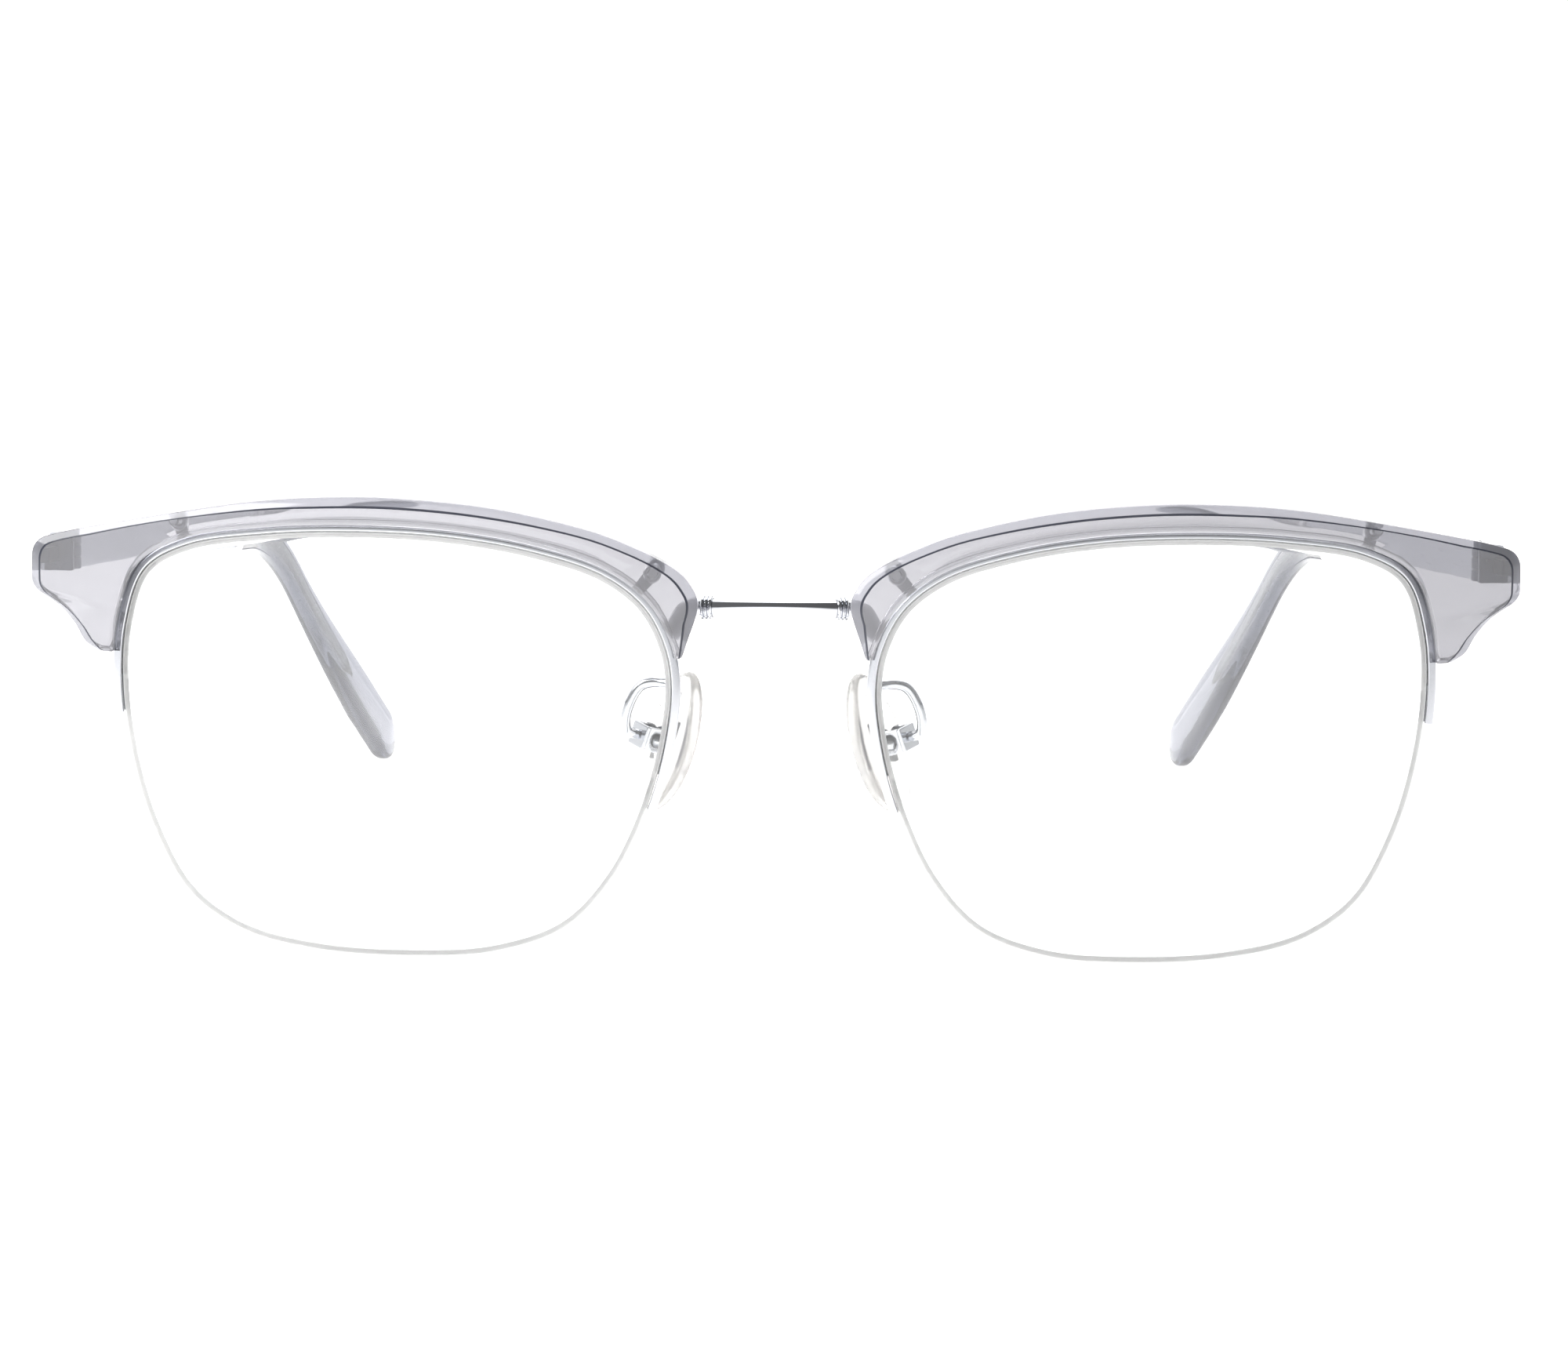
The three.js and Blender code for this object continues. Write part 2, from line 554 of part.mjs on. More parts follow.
function shaftGeometry() {
  // The front end is cut parallel to the back of the end piece.
  const lean = Math.tan(leafTurn - rad(TOE_IN));
  const butt = templeRing(0, barSection(SHAFT_THICKNESS, SHAFT_HEIGHT)).map((p) =>
    p.setY(2 * FIT - HINGE_STANDOFF + lean * p.x + slopeZ(hinge.z) * Math.abs(p.z)),
  );
  const shaft = barSection(SHAFT_THICKNESS, SHAFT_HEIGHT);
  const slim = barSection(SHAFT_THICKNESS, SHAFT_HEIGHT - 0.5);
  const core = barSection(CORE_THICKNESS, CORE_HEIGHT);
  const point = barSection(CORE_THICKNESS * 0.6, CORE_HEIGHT * 0.3);
  return loft([
    butt,
    templeRing(LEAF_LENGTH + 2, shaft),
    templeRing(sleeveStart - 1, slim),
    templeRing(sleeveStart - 0.4, core),
    ...coreStations.map((s) => templeRing(s, core)),
    templeRing(coreStop, point),
  ]);
}

// A section between an ellipse and a rectangle.
function roundSection(thickness, height) {
  const fuller = (value) => Math.sign(value) * Math.abs(value) ** 0.6;
  return Array.from({ length: 14 }, (_, i) => {
    const angle = ((i + 0.5) * Math.PI) / 7;
    return [(thickness / 2) * fuller(Math.cos(angle)), (height / 2) * fuller(Math.sin(angle))];
  });
}

function sleeveGeometry() {
  const ringAt = (s) => {
    const share = (s - sleeveStart) / SLEEVE_LENGTH;
    const swell = THREE.MathUtils.smoothstep(share, 0.4, 0.86);
    const end = Math.max(0, (s - (TEMPLE_LENGTH - PADDLE_HEIGHT / 2)) / (PADDLE_HEIGHT / 2));
    const round = Math.sqrt(Math.max(0, 1 - end * end));
    const height = SLEEVE_HEIGHT + (PADDLE_HEIGHT - SLEEVE_HEIGHT) * swell;
    const thickness = SLEEVE_THICKNESS + (PADDLE_THICKNESS - SLEEVE_THICKNESS) * swell;
    return templeRing(s, roundSection(thickness * (0.55 + 0.45 * round), height * Math.max(0.32, round)));
  };
  const paddle = TEMPLE_LENGTH - PADDLE_HEIGHT / 2;
  const rounded = [0.4, 0.7, 0.88, 0.98].map((k) => paddle + (k * PADDLE_HEIGHT) / 2);
  const places = [...templeStations(sleeveStart, paddle), ...rounded];
  const core = barSection(CORE_THICKNESS + 2 * FIT, CORE_HEIGHT + 2 * FIT);
  const point = barSection(CORE_THICKNESS * 0.6 + 2 * FIT, CORE_HEIGHT * 0.3 + 2 * FIT);
  const channel = [sleeveStart - 3, ...coreStations].map((s) => templeRing(s, core));
  channel.push(templeRing(coreStop + FIT, point));
  return cut(loft(places.map(ringAt)), loft(channel));
}

// ---- Nose pad on its box, screw and arm ----
const padAxes = (() => {
  const long = new THREE.Vector3(-Math.sin(rad(PAD_LEAN)), 0, Math.cos(rad(PAD_LEAN)));
  const face = new THREE.Vector3(-Math.cos(rad(PAD_SPLAY)), Math.sin(rad(PAD_SPLAY)), 0);
  face.addScaledVector(long, -face.dot(long)).normalize();
  return { screw: new THREE.Vector3().crossVectors(face, long), face, long };
})();
const padPivot = new THREE.Vector3(nasalX + PAD_OUT, PAD_BACK, EYE_HEIGHT - PAD_BELOW);

// In the pad's own frame X runs back along the screw, Y faces the nose and Z runs up the pad.
const padBackY = EAR_RADIUS + 0.15;
const earInner = LUG_WIDTH / 2 + FIT;
const earOuter = earInner + EAR_THICKNESS;
const acrossPad = (geometry) => geometry.rotateY(Math.PI / 2);

function padGeometry() {
  const ring = (share, y) =>
    Array.from({ length: 22 }, (_, i) => {
      const angle = (i * 2 * Math.PI) / 22;
      const up = Math.sin(angle);
      const width = (PAD_WIDTH / 2) * (1 - 0.14 * up);
      return new THREE.Vector3(width * Math.cos(angle) * share, y, (PAD_LENGTH / 2) * up * share);
    });
  const layers = [[0.9, 0], [1, 0.22], [1, 0.45], [0.9, 0.75], [0.62, 0.94]];
  const body = loft(
    layers.map(([share, y]) => ring(share, padBackY + y * PAD_THICKNESS)),
    { last: new THREE.Vector3(0, padBackY + PAD_THICKNESS, 0) },
  );
  return cut(body, insertPlate(FIT));
}

// The metal insert: a plate sunk in the pad, and the lug that hangs on the screw.
function insertPlate(margin) {
  const [w, h] = [1.5 + margin, 2.2 + margin];
  return box(-w, w, padBackY - (margin ? 2 : 0), padBackY + 0.55 + margin, -h, h);
}

function insertGeometry() {
  const half = LUG_WIDTH / 2;
  const lug = box(-half, half, 0, padBackY + 0.2, -0.9, 0.9);
  const eye = acrossPad(post(0.95, -half, half));
  const hole = acrossPad(post(PAD_SCREW_RADIUS + RUNNING_FIT, -5, 5));
  return cut(join(insertPlate(0), lug, eye), hole);
}

function boxGeometry() {
  const floor = -EAR_RADIUS - 0.1;
  const ears = [-1, 1].flatMap((side) => {
    const [x0, x1] = [earInner * side, earOuter * side].sort((a, b) => a - b);
    return [acrossPad(post(EAR_RADIUS, x0, x1)), box(x0, x1, floor, 0, -EAR_RADIUS * 0.9, EAR_RADIUS * 0.9)];
  });
  const base = box(-earOuter, earOuter, floor - 0.4, floor + 0.05, -EAR_RADIUS * 0.9, EAR_RADIUS * 0.9);
  const hole = acrossPad(post(PAD_SCREW_RADIUS + RUNNING_FIT, -5, 5));
  return cut(join(base, ...ears), hole);
}

const padScrewGeometry = () =>
  slottedScrew(PAD_SCREW_RADIUS, 0.8, -earOuter - 0.1, earOuter + FIT).rotateY(-Math.PI / 2);

// The arm is a bent wire from the back of the rim, out behind the lens and back to the box.
function armGeometry() {
  const rootHeight = bridgeZ - FOOT_BELOW - ARM_BELOW;
  const root = beside(placeAtHeight(rootHeight, NOSE_SIDE), RIM_GAP + RIM_HEIGHT / 2, rimBack + FIT);
  const seat = padPivot.clone().addScaledVector(padAxes.face, -EAR_RADIUS - 0.5 - FIT);
  const from = (point, x, y, z) => new THREE.Vector3(point.x + x, point.y + y, point.z + z);
  const path = new THREE.CatmullRomCurve3([
    root, from(root, 0.25, 1.1, 0.15), from(root, 1.6, 2.5, 0.9), from(seat, -0.5, -1.2, 4.8),
    from(seat, 0.8, -1.1, 2.6), from(seat, 0.95, -0.9, 0.6), seat,
  ]);
  const section = new THREE.Shape().absarc(0, 0, ARM_DIAMETER / 2, 0, 2 * Math.PI);
  const smoothness = { steps: 22, curveSegments: 5, bevelEnabled: false };
  return new THREE.ExtrudeGeometry(section, { ...smoothness, extrudePath: path });
}

// ---- Bridge: a bar with a turned collar at each end and a foot soldered behind each rim ----
const footDepth = rimBack + FIT + FOOT_THICKNESS / 2;
const barEnd = bridgeHalf + COLLAR_LENGTH + 0.5;
const bridgeY = sweepBack(nasalX, bridgeZ) + footDepth + 0.95;
const barHeight = (x) => BRIDGE_BAR - (BRIDGE_BAR - BRIDGE_WAIST) * Math.max(0, 1 - (x / bridgeHalf) ** 2);
const barCentre = (x) => {
  const y = bridgeY - BRIDGE_FORWARD * (1 - (x / barEnd) ** 2);
  return new THREE.Vector3(x, y, bridgeZ + (BRIDGE_BAR - barHeight(x)) / 2);
};

function bridgeGeometry() {
  const ringAt = (centre, across, tall, deep) =>
    Array.from({ length: 14 }, (_, i) => {
      const angle = ((i + 0.5) * Math.PI) / 7;
      const up = across.clone().multiplyScalar(tall * Math.sin(angle));
      return centre.clone().add(up).add(new THREE.Vector3(0, deep * Math.cos(angle), 0));
    });
  const radius = BRIDGE_BAR / 2;
  const upright = new THREE.Vector3(0, 0, 1);
  const foot = placeAtHeight(bridgeZ - FOOT_BELOW, NOSE_SIDE);
  const toe = beside(foot, RIM_GAP + RIM_HEIGHT / 2, footDepth);
  const knee = new THREE.Vector3((barEnd + toe.x) / 2, (bridgeY + toe.y) / 2, bridgeZ - FOOT_BELOW * 0.3);
  const half = [
    ringAt(toe, new THREE.Vector3(0.85, 0, 0.5), 0.75, FOOT_THICKNESS / 2),
    ringAt(knee, new THREE.Vector3(0.45, 0, 0.9).normalize(), 1.3, FOOT_THICKNESS / 2),
    ringAt(barCentre(barEnd), upright, radius, radius),
    ...[1, 0.8, 0.6, 0.4, 0.2]
      .map((k) => k * bridgeHalf)
      .map((x) => ringAt(barCentre(x), upright, barHeight(x) / 2, radius)),
  ];
  const mirrored = half.map((ring) => ring.map((p) => new THREE.Vector3(-p.x, p.y, p.z))).reverse();
  return loft([...half, ringAt(barCentre(0), upright, BRIDGE_WAIST / 2, radius), ...mirrored]);
}

function collarGeometry() {
  const [inner, outer] = [BRIDGE_BAR / 2 + RUNNING_FIT, COLLAR_DIAMETER / 2];
  const [valley, l] = [(inner + outer) / 2, COLLAR_LENGTH];
  const profile = [
    [inner, 0], [outer, 0], [outer, 0.34 * l], [valley, 0.42 * l], [valley, 0.58 * l],
    [outer, 0.66 * l], [outer, l], [inner, l], [inner, 0],
  ].map(([r, z]) => new THREE.Vector2(r, z));
  return new THREE.LatheGeometry(profile, 20).rotateZ(-Math.PI / 2);
}

// ---- Assembly ----
function piece(name, geometry, material, parent) {
  const mesh = new THREE.Mesh(geometry, material);
  mesh.name = name;
  parent.add(mesh);
  return mesh;
}

function hingeCutter() {
  const turned = hingePlate(FIT).rotateZ(leafTurn);
  return turned.translate(hinge.x, hinge.y, hinge.z);
}

function buildHalf(side) {
  const half = new THREE.Group();
  const named = (name) => `${name}_${side}`;
  piece(named("lens"), lensGeometry(), glass, half);
  piece(named("retaining_filament"), filamentGeometry(), nylon, half);
  piece(named("rim_liner"), linerGeometry(), nylon, half);
  piece(named("half_rim"), rimGeometry(), silver, half);
  piece(named("brow_bar"), cut(browGeometry(), ...browScrews.map(browHole), hingeCutter()), acetate, half);
  for (const screw of browScrews) {
    const seat = screwSeat(screw);
    const geometry = slottedScrew(SCREW_SHANK, SCREW_HEAD, -SCREW_GRIP - FIT, TAB_THICKNESS + 0.05);
    piece(`brow_screw_${screw.name}_${side}`, geometry.rotateX(-Math.PI / 2), silver, seat);
    half.add(seat);
  }

  const collar = piece(named("bridge_collar"), collarGeometry(), silver, half);
  collar.position.copy(barCentre(bridgeHalf));
  const ahead = barCentre(barEnd).sub(collar.position);
  collar.rotation.z = Math.atan2(ahead.y, ahead.x);

  const hingeGroup = new THREE.Group();
  hingeGroup.position.set(hinge.x, hinge.y, hinge.z);
  const leaf = piece(named("hinge_front_leaf"), frontLeafGeometry(), silver, hingeGroup);
  leaf.rotation.z = leafTurn;
  piece(named("hinge_screw"), hingeScrewGeometry(), silver, hingeGroup);
  const temple = new THREE.Group();
  temple.rotation.z = rad(TOE_IN);
  piece(named("hinge_temple_leaf"), templeLeafGeometry(), silver, temple);
  piece(named("temple_shaft"), shaftGeometry(), silver, temple);
  piece(named("temple_tip"), sleeveGeometry(), acetate, temple);
  hingeGroup.add(temple);
  half.add(hingeGroup);

  piece(named("pad_arm"), armGeometry(), silver, half);
  const padGroup = new THREE.Group();
  padGroup.position.copy(padPivot);
  const basis = new THREE.Matrix4().makeBasis(padAxes.screw, padAxes.face, padAxes.long);
  padGroup.quaternion.setFromRotationMatrix(basis);
  piece(named("pad_box"), boxGeometry(), silver, padGroup);
  piece(named("pad_screw"), padScrewGeometry(), silver, padGroup);
  piece(named("pad_insert"), insertGeometry(), silver, padGroup);
  piece(named("nose_pad"), padGeometry(), silicone, padGroup);
  half.add(padGroup);
  return half;
}

const glasses = new THREE.Group();
const rightHalf = buildHalf("right");
rightHalf.scale.x = -1;
glasses.add(buildHalf("left"), rightHalf);
piece("bridge", bridgeGeometry(), silver, glasses);

// The origin is the middle of the bounding box, on the surface that the glasses rest on.
glasses.updateMatrixWorld(true);
const bounds = new THREE.Box3().setFromObject(glasses, true);
glasses.position.set(0, -(bounds.min.y + bounds.max.y) / 2, -bounds.min.z);

export default glasses;
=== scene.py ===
# %% [markdown]
# # Browline eyeglasses in Blender
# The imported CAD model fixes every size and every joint. Here each piece is made again as a smooth
# surface, gets a material for what it is made of, and rides on the CAD body that it belongs to.
# All shapes are worked out in millimetres, in the drawing's own axes: X across the face, Y back
# towards the ears and Z up. "left" is the wearer's left, the +X half, and the right half is its mirror
# image.

# %% Load the frame
import json
import math

import bmesh
import bpy
import numpy as np
from mathutils import Matrix, Vector


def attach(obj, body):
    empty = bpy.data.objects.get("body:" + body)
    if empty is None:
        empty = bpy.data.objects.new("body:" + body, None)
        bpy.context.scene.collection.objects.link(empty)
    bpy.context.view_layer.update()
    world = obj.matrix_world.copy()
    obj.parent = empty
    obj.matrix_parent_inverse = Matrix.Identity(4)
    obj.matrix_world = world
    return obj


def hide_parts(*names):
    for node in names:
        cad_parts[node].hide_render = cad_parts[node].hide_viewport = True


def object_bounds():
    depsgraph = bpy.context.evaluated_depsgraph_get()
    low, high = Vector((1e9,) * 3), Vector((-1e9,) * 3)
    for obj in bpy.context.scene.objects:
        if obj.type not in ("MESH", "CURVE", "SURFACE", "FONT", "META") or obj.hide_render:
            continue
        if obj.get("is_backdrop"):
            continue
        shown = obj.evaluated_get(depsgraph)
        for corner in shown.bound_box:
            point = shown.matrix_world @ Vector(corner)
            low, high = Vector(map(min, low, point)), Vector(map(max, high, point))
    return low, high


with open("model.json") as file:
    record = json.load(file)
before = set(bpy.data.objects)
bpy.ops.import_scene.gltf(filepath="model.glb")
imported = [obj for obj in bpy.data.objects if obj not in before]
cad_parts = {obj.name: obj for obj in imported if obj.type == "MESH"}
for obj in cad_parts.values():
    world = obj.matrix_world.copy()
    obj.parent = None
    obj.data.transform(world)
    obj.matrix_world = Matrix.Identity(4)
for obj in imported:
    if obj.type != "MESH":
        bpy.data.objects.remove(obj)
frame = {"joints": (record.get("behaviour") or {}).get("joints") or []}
cad_box = [[float(v) for v in corner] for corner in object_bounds()]
print("CAD box in mm:", np.round(np.array(cad_box) * 1000, 2).tolist())

MM = 0.001  # metres in a millimetre

# %% [markdown]
# ## The camera and the studio
# Spectacles are shown from close by with a short telephoto lens, on a white table that runs far out
# behind them. The table glows a little by itself, a painted glow that is stronger on the side of the
# window and in the distance, so that floor and background melt into one. Only the ceiling over the
# camera is dark, and that is what gives polished metal its thin dark lines; the thin dark line along a
# brow bar's bevel is painted shade. Every material is a tree of nodes, so first comes a helper that adds
# one node with its settings and links in one call.

# %% One helper that adds a node
def linear(hex_colour):
    """An sRGB hex colour as linear red, green, blue and an alpha of 1."""
    s = np.array([int(hex_colour[i : i + 2], 16) / 255 for i in (1, 3, 5)])
    rgb = np.where(s <= 0.04045, s / 12.92, ((s + 0.055) / 1.055) ** 2.4)
    return (*rgb.tolist(), 1.0)


def add(tree, kind, inputs=None, **settings):
    """Adds one node: settings are its properties, inputs are values or links for its sockets."""
    new = tree.nodes.new(kind)
    for key, value in settings.items():
        setattr(new, key, value)
    for key, value in (inputs or {}).items():
        if isinstance(value, bpy.types.NodeSocket):
            tree.links.new(value, new.inputs[key])
        else:
            new.inputs[key].default_value = value
    return new


# %% Camera
CAMERA_PLACE = Vector((2.5, -356.0, 57.66)) * MM
TURN, TILT, ROLL = (math.radians(a) for a in (-0.31, -6.065, 0.49))
FOCAL_LENGTH, SENSOR_WIDTH = 70.54, 36.0  # mm
NEAREST = 0.01  # metres; anything closer to the camera isn't drawn

forward = Vector((math.sin(TURN) * math.cos(TILT), math.cos(TURN) * math.cos(TILT), math.sin(TILT)))
level = forward.cross(Vector((0, 0, 1))).normalized()
above = level.cross(forward)
right = level * math.cos(ROLL) + above * math.sin(ROLL)
up = above * math.cos(ROLL) - level * math.sin(ROLL)

lens_settings = bpy.data.cameras.new("studio_camera")
lens_settings.lens = FOCAL_LENGTH
lens_settings.sensor_width = SENSOR_WIDTH
lens_settings.clip_start = NEAREST
camera = bpy.data.objects.new("studio_camera", lens_settings)
camera.matrix_world = Matrix((right, up, -forward)).transposed().to_4x4()
camera.matrix_world.translation = CAMERA_PLACE
bpy.context.scene.collection.objects.link(camera)
bpy.context.scene.camera = camera
bpy.context.scene.view_settings.view_transform = "Standard"
print("camera", round((CAMERA_PLACE - Vector(cad_box[0])).length, 3), "m from the near corner")

# %% White table
# The table top glows by itself, painted light in place of a lamp under it, so shadows on it are faint.
# The painted glow is weaker on the right, along X, and stronger in the distance, along Y.
PAPER_SIDE = 6.0  # metres
paper_mesh = bpy.data.meshes.new("paper")
half = PAPER_SIDE / 2
corners = [(-half, -half, 0), (half, -half, 0), (half, half, 0), (-half, half, 0)]
paper_mesh.from_pydata(corners, [], [(0, 1, 2, 3)])
paper = bpy.data.objects.new("paper", paper_mesh)
bpy.context.scene.collection.objects.link(paper)
paper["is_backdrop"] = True
paper_finish = bpy.data.materials.new("matt_white_paper")
paper_finish.use_nodes = True
tree = paper_finish.node_tree
shader = tree.nodes["Principled BSDF"]
shader.inputs["Base Color"].default_value = linear("#FBFAF9")
shader.inputs["Roughness"].default_value = 1.0
shader.inputs["Specular IOR Level"].default_value = 0.0
shader.inputs["Emission Color"].default_value = linear("#FFFEFD")
spot = add(tree, "ShaderNodeTexCoord").outputs["Object"]
spot = add(tree, "ShaderNodeSeparateXYZ", {0: spot})
across = add(tree, "ShaderNodeMapRange", {"Value": spot.outputs["X"], "From Min": -0.2,
                                          "From Max": 0.2, "To Min": 1.0, "To Max": 0.56})
painted_far_glow = add(tree, "ShaderNodeMapRange", {"Value": spot.outputs["Y"], "From Min": 0.5,
                                        "From Max": 0.9, "To Min": 1.0, "To Max": 1.7})
# painted glow: the side share times the distance share drives the emission strength
painted_glow = {0: across.outputs[0], 1: painted_far_glow.outputs[0]}
painted_glow = add(tree, "ShaderNodeMath", painted_glow, operation="MULTIPLY")
tree.links.new(painted_glow.outputs[0], shader.inputs["Emission Strength"])
paper_mesh.materials.append(paper_finish)
print("table", PAPER_SIDE, "m square")

# %% White room with a dark ceiling
# Its light comes from all round, stronger from the window on the left (-X). It falls to DARK where a
# direction points up (Z) and not far ahead (Y).
DARK, WINDOW, WALL = 0.14, 1.45, 1.06
world = bpy.data.worlds.new("white_studio")
world.use_nodes = True
sky = world.node_tree
sky.nodes.clear()
way = add(sky, "ShaderNodeTexCoord").outputs["Generated"]
way = add(sky, "ShaderNodeSeparateXYZ", {0: way})
high = add(sky, "ShaderNodeMapRange", {"Value": way.outputs["Z"], "From Min": 0.02, "From Max": 0.25},
           interpolation_type="SMOOTHSTEP")
near = add(sky, "ShaderNodeMapRange", {"Value": way.outputs["Y"], "From Min": 0.5, "From Max": 0.05},
           interpolation_type="SMOOTHSTEP")
ceiling = {0: high.outputs[0], 1: near.outputs[0]}
ceiling = add(sky, "ShaderNodeMath", ceiling, operation="MULTIPLY")
dimmed = add(sky, "ShaderNodeMapRange", {"Value": ceiling.outputs[0], "To Min": 1.0, "To Max": DARK})
window = add(sky, "ShaderNodeMapRange", {"Value": way.outputs["X"], "From Min": -0.3,
                                         "From Max": 0.3, "To Min": WINDOW, "To Max": WALL})
strength = {0: dimmed.outputs[0], 1: window.outputs[0]}
strength = add(sky, "ShaderNodeMath", strength, operation="MULTIPLY").outputs[0]
glow = add(sky, "ShaderNodeBackground", {"Color": linear("#FFFFFF"), "Strength": strength})
add(sky, "ShaderNodeOutputWorld", {"Surface": glow.outputs[0]})
bpy.context.scene.world = world
print("room light from", DARK, "to", WINDOW)


# %% Softboxes
def softbox(name, place, target, size, watts):
    """A square area light at place that faces target, all in metres."""
    data = bpy.data.lights.new(name, "AREA")
    data.size = size
    data.energy = watts
    lamp = bpy.data.objects.new(name, data)
    lamp.location = place
    lamp.rotation_euler = (Vector(target) - Vector(place)).to_track_quat("-Z", "Y").to_euler()
    bpy.context.scene.collection.objects.link(lamp)


softbox("softbox_left", (-0.42, -0.16, 0.42), (0, 0, 0.02), 0.34, 2.6)
softbox("softbox_behind", (0.1, 0.5, 0.75), (0, 0, 0), 0.6, 2.4)
softbox("softbox_above", (0.0, 0.12, 0.8), (0, 0.12, 0), 0.34, 0.8)
print(len(bpy.data.lights), "softboxes")

# %% [markdown]
# ## Rings, and the skin over them
# Almost every piece here is a section carried along a path. So a shape is an array of rings, stations
# by corners by three, and one function turns any such array into a mesh. Corners are softened before
# that, because a real edge always has a small radius, and the light that it catches is what makes it
# look real. A Bevel modifier could do that too, but then a corner couldn't have a radius of its own.

# %% Curves
def curve_through(points, steps, closed=False, power=0.0):
    """A Catmull-Rom curve with so many steps between two given points. On each span it is the cubic
    that starts and ends with the slope of the neighbours; knots are spaced by chord ** power."""
    points = np.asarray(points, float)
    if closed:
        p = np.concatenate([points[-1:], points, points[:2]])
    elif power:
        p = np.concatenate([2 * points[:1] - points[1:2], points, 2 * points[-1:] - points[-2:-1]])
    else:
        p = np.concatenate([points[:1], points, points[-1:]])
    gap = np.linalg.norm(np.diff(p, axis=0), axis=1, keepdims=True) ** power
    g0, g1, g2 = gap[:-2], gap[1:-1], gap[2:]
    p0, p1, p2, p3 = p[:-3], p[1:-2], p[2:-1], p[3:]
    slope_in = ((p1 - p0) / g0 - (p2 - p0) / (g0 + g1) + (p2 - p1) / g1) * g1
    slope_out = ((p2 - p1) / g1 - (p3 - p1) / (g1 + g2) + (p3 - p2) / g2) * g1
    t = np.linspace(0, 1, steps, endpoint=False)[None, :, None]
    start, leave, end, arrive = (a[:, None, :] for a in (p1, slope_in, p2, slope_out))
    spans = ((2 * t**3 - 3 * t**2 + 1) * start + (t**3 - 2 * t**2 + t) * leave
             + (3 * t**2 - 2 * t**3) * end + (t**3 - t**2) * arrive)
    return np.concatenate([spans.reshape(-1, points.shape[1]), p2[-1:]])


def along(curve, shares):
    """Points of a drawn curve at shares of its length from 0 to 1, and their directions."""
    length = np.concatenate([[0], np.cumsum(np.linalg.norm(np.diff(curve, axis=0), axis=1))])
    place = np.asarray(shares, float) * length[-1]
    slope = np.gradient(curve, length, axis=0)
    pick = lambda values: np.stack([np.interp(place, length, column) for column in values.T], -1)
    tangent = pick(slope)
    return pick(curve), tangent / np.linalg.norm(tangent, axis=-1, keepdims=True)


ring_path = curve_through([(0, 0), (1, 1), (2, 0)], 8)
print("a test curve has", len(ring_path), "points and starts towards", along(ring_path, 0)[1].round(2))

# %% Rings and their skin
LONGEST_CUT = 0.46  # share of a side that a softened corner may take


def soften(rings, radius, steps=4):
    """Rounds every corner of the rings: a corner P becomes (1-t)^2 A + 2t(1-t) P + t^2 B, where A and B
    lie up to radius away from P, and less than half a side, on the two sides that meet there."""
    def reach(neighbour):
        side = neighbour - rings
        length = np.maximum(np.linalg.norm(side, axis=-1, keepdims=True), 1e-9)
        return rings + side * np.minimum(radius / length, LONGEST_CUT)
    before, after = reach(np.roll(rings, 1, axis=1)), reach(np.roll(rings, -1, axis=1))
    t = np.linspace(0, 1, steps + 1)[:, None, None, None]
    curve = (1 - t) ** 2 * before + 2 * t * (1 - t) * rings + t**2 * after
    return curve.transpose(1, 2, 0, 3).reshape(len(rings), -1, 3)


def loft(rings, closed=False):
    """A skin over rings: point j of ring i joins j + 1 and ring i + 1. Open ends get a flat face,
    and those two faces come last."""
    count, corners = rings.shape[:2]
    number = np.arange(count * corners).reshape(count, corners)
    here, there = (number, np.roll(number, -1, axis=0)) if closed else (number[:-1], number[1:])
    quads = np.stack([here, np.roll(here, -1, axis=1), np.roll(there, -1, axis=1), there], -1)
    faces = quads.reshape(-1, 4).tolist()
    if not closed:
        faces += [number[0, ::-1].tolist(), number[-1].tolist()]
    return rings.reshape(-1, 3), faces


def shrink_ends(rings, radius, steps=3):
    """Adds rings at both ends that run out by radius while they shrink by it, as a quarter circle:
    out by radius (sin a - 1), in by radius (1 - cos a). The end rings move in first to make room."""
    def cap(ring, inner):
        middle = ring.mean(axis=0)
        out = middle - inner.mean(axis=0)
        out /= np.linalg.norm(out)
        arm = ring - middle
        size = np.linalg.norm(arm, axis=-1, keepdims=True)
        turn = np.linspace(0, np.pi / 2, steps + 1)[1:, None, None]
        shorter = np.maximum(1 - radius * (1 - np.cos(turn)) / np.maximum(size, 1e-6), 0.05)
        return middle + arm * shorter + out * (np.sin(turn) - 1) * radius
    first, last = cap(rings[0], rings[1]), cap(rings[-1], rings[-2])
    body = rings.copy()
    for end, inner in ((0, 1), (-1, -2)):
        step = body[inner].mean(axis=0) - body[end].mean(axis=0)
        body[end] += step / np.linalg.norm(step) * radius
    return np.concatenate([first[::-1], body, last])


# %% Blocks and turned parts
def block(low, high, radius):
    """A box with rounded edges: softened rectangles along Z that shrink at both ends."""
    (x0, y0, z0), (x1, y1, z1) = low, high
    flat = np.array([[x0, y0, 0], [x1, y0, 0], [x1, y1, 0], [x0, y1, 0]])
    rings = np.stack([flat + [0, 0, z] for z in np.linspace(z0, z1, 4)])
    return loft(shrink_ends(soften(rings, radius), radius))


def turned(profile, sides=40, closed=False):
    """A turned part: each profile point (radius, height) goes round Z as r cos a, r sin a, h."""
    r, h = np.array(profile, float).T[:, :, None]
    a = np.linspace(0, 2 * np.pi, sides, endpoint=False)[None, :]
    rings = np.stack([r * np.cos(a), r * np.sin(a), h + 0 * a], -1)
    return loft(rings, closed)


def placed(part, axes, origin):
    """Moves a part: x, y, z become origin + x axes[0] + y axes[1] + z axes[2]."""
    points, faces = part
    return points @ np.array(axes, float) + np.array(origin, float), faces


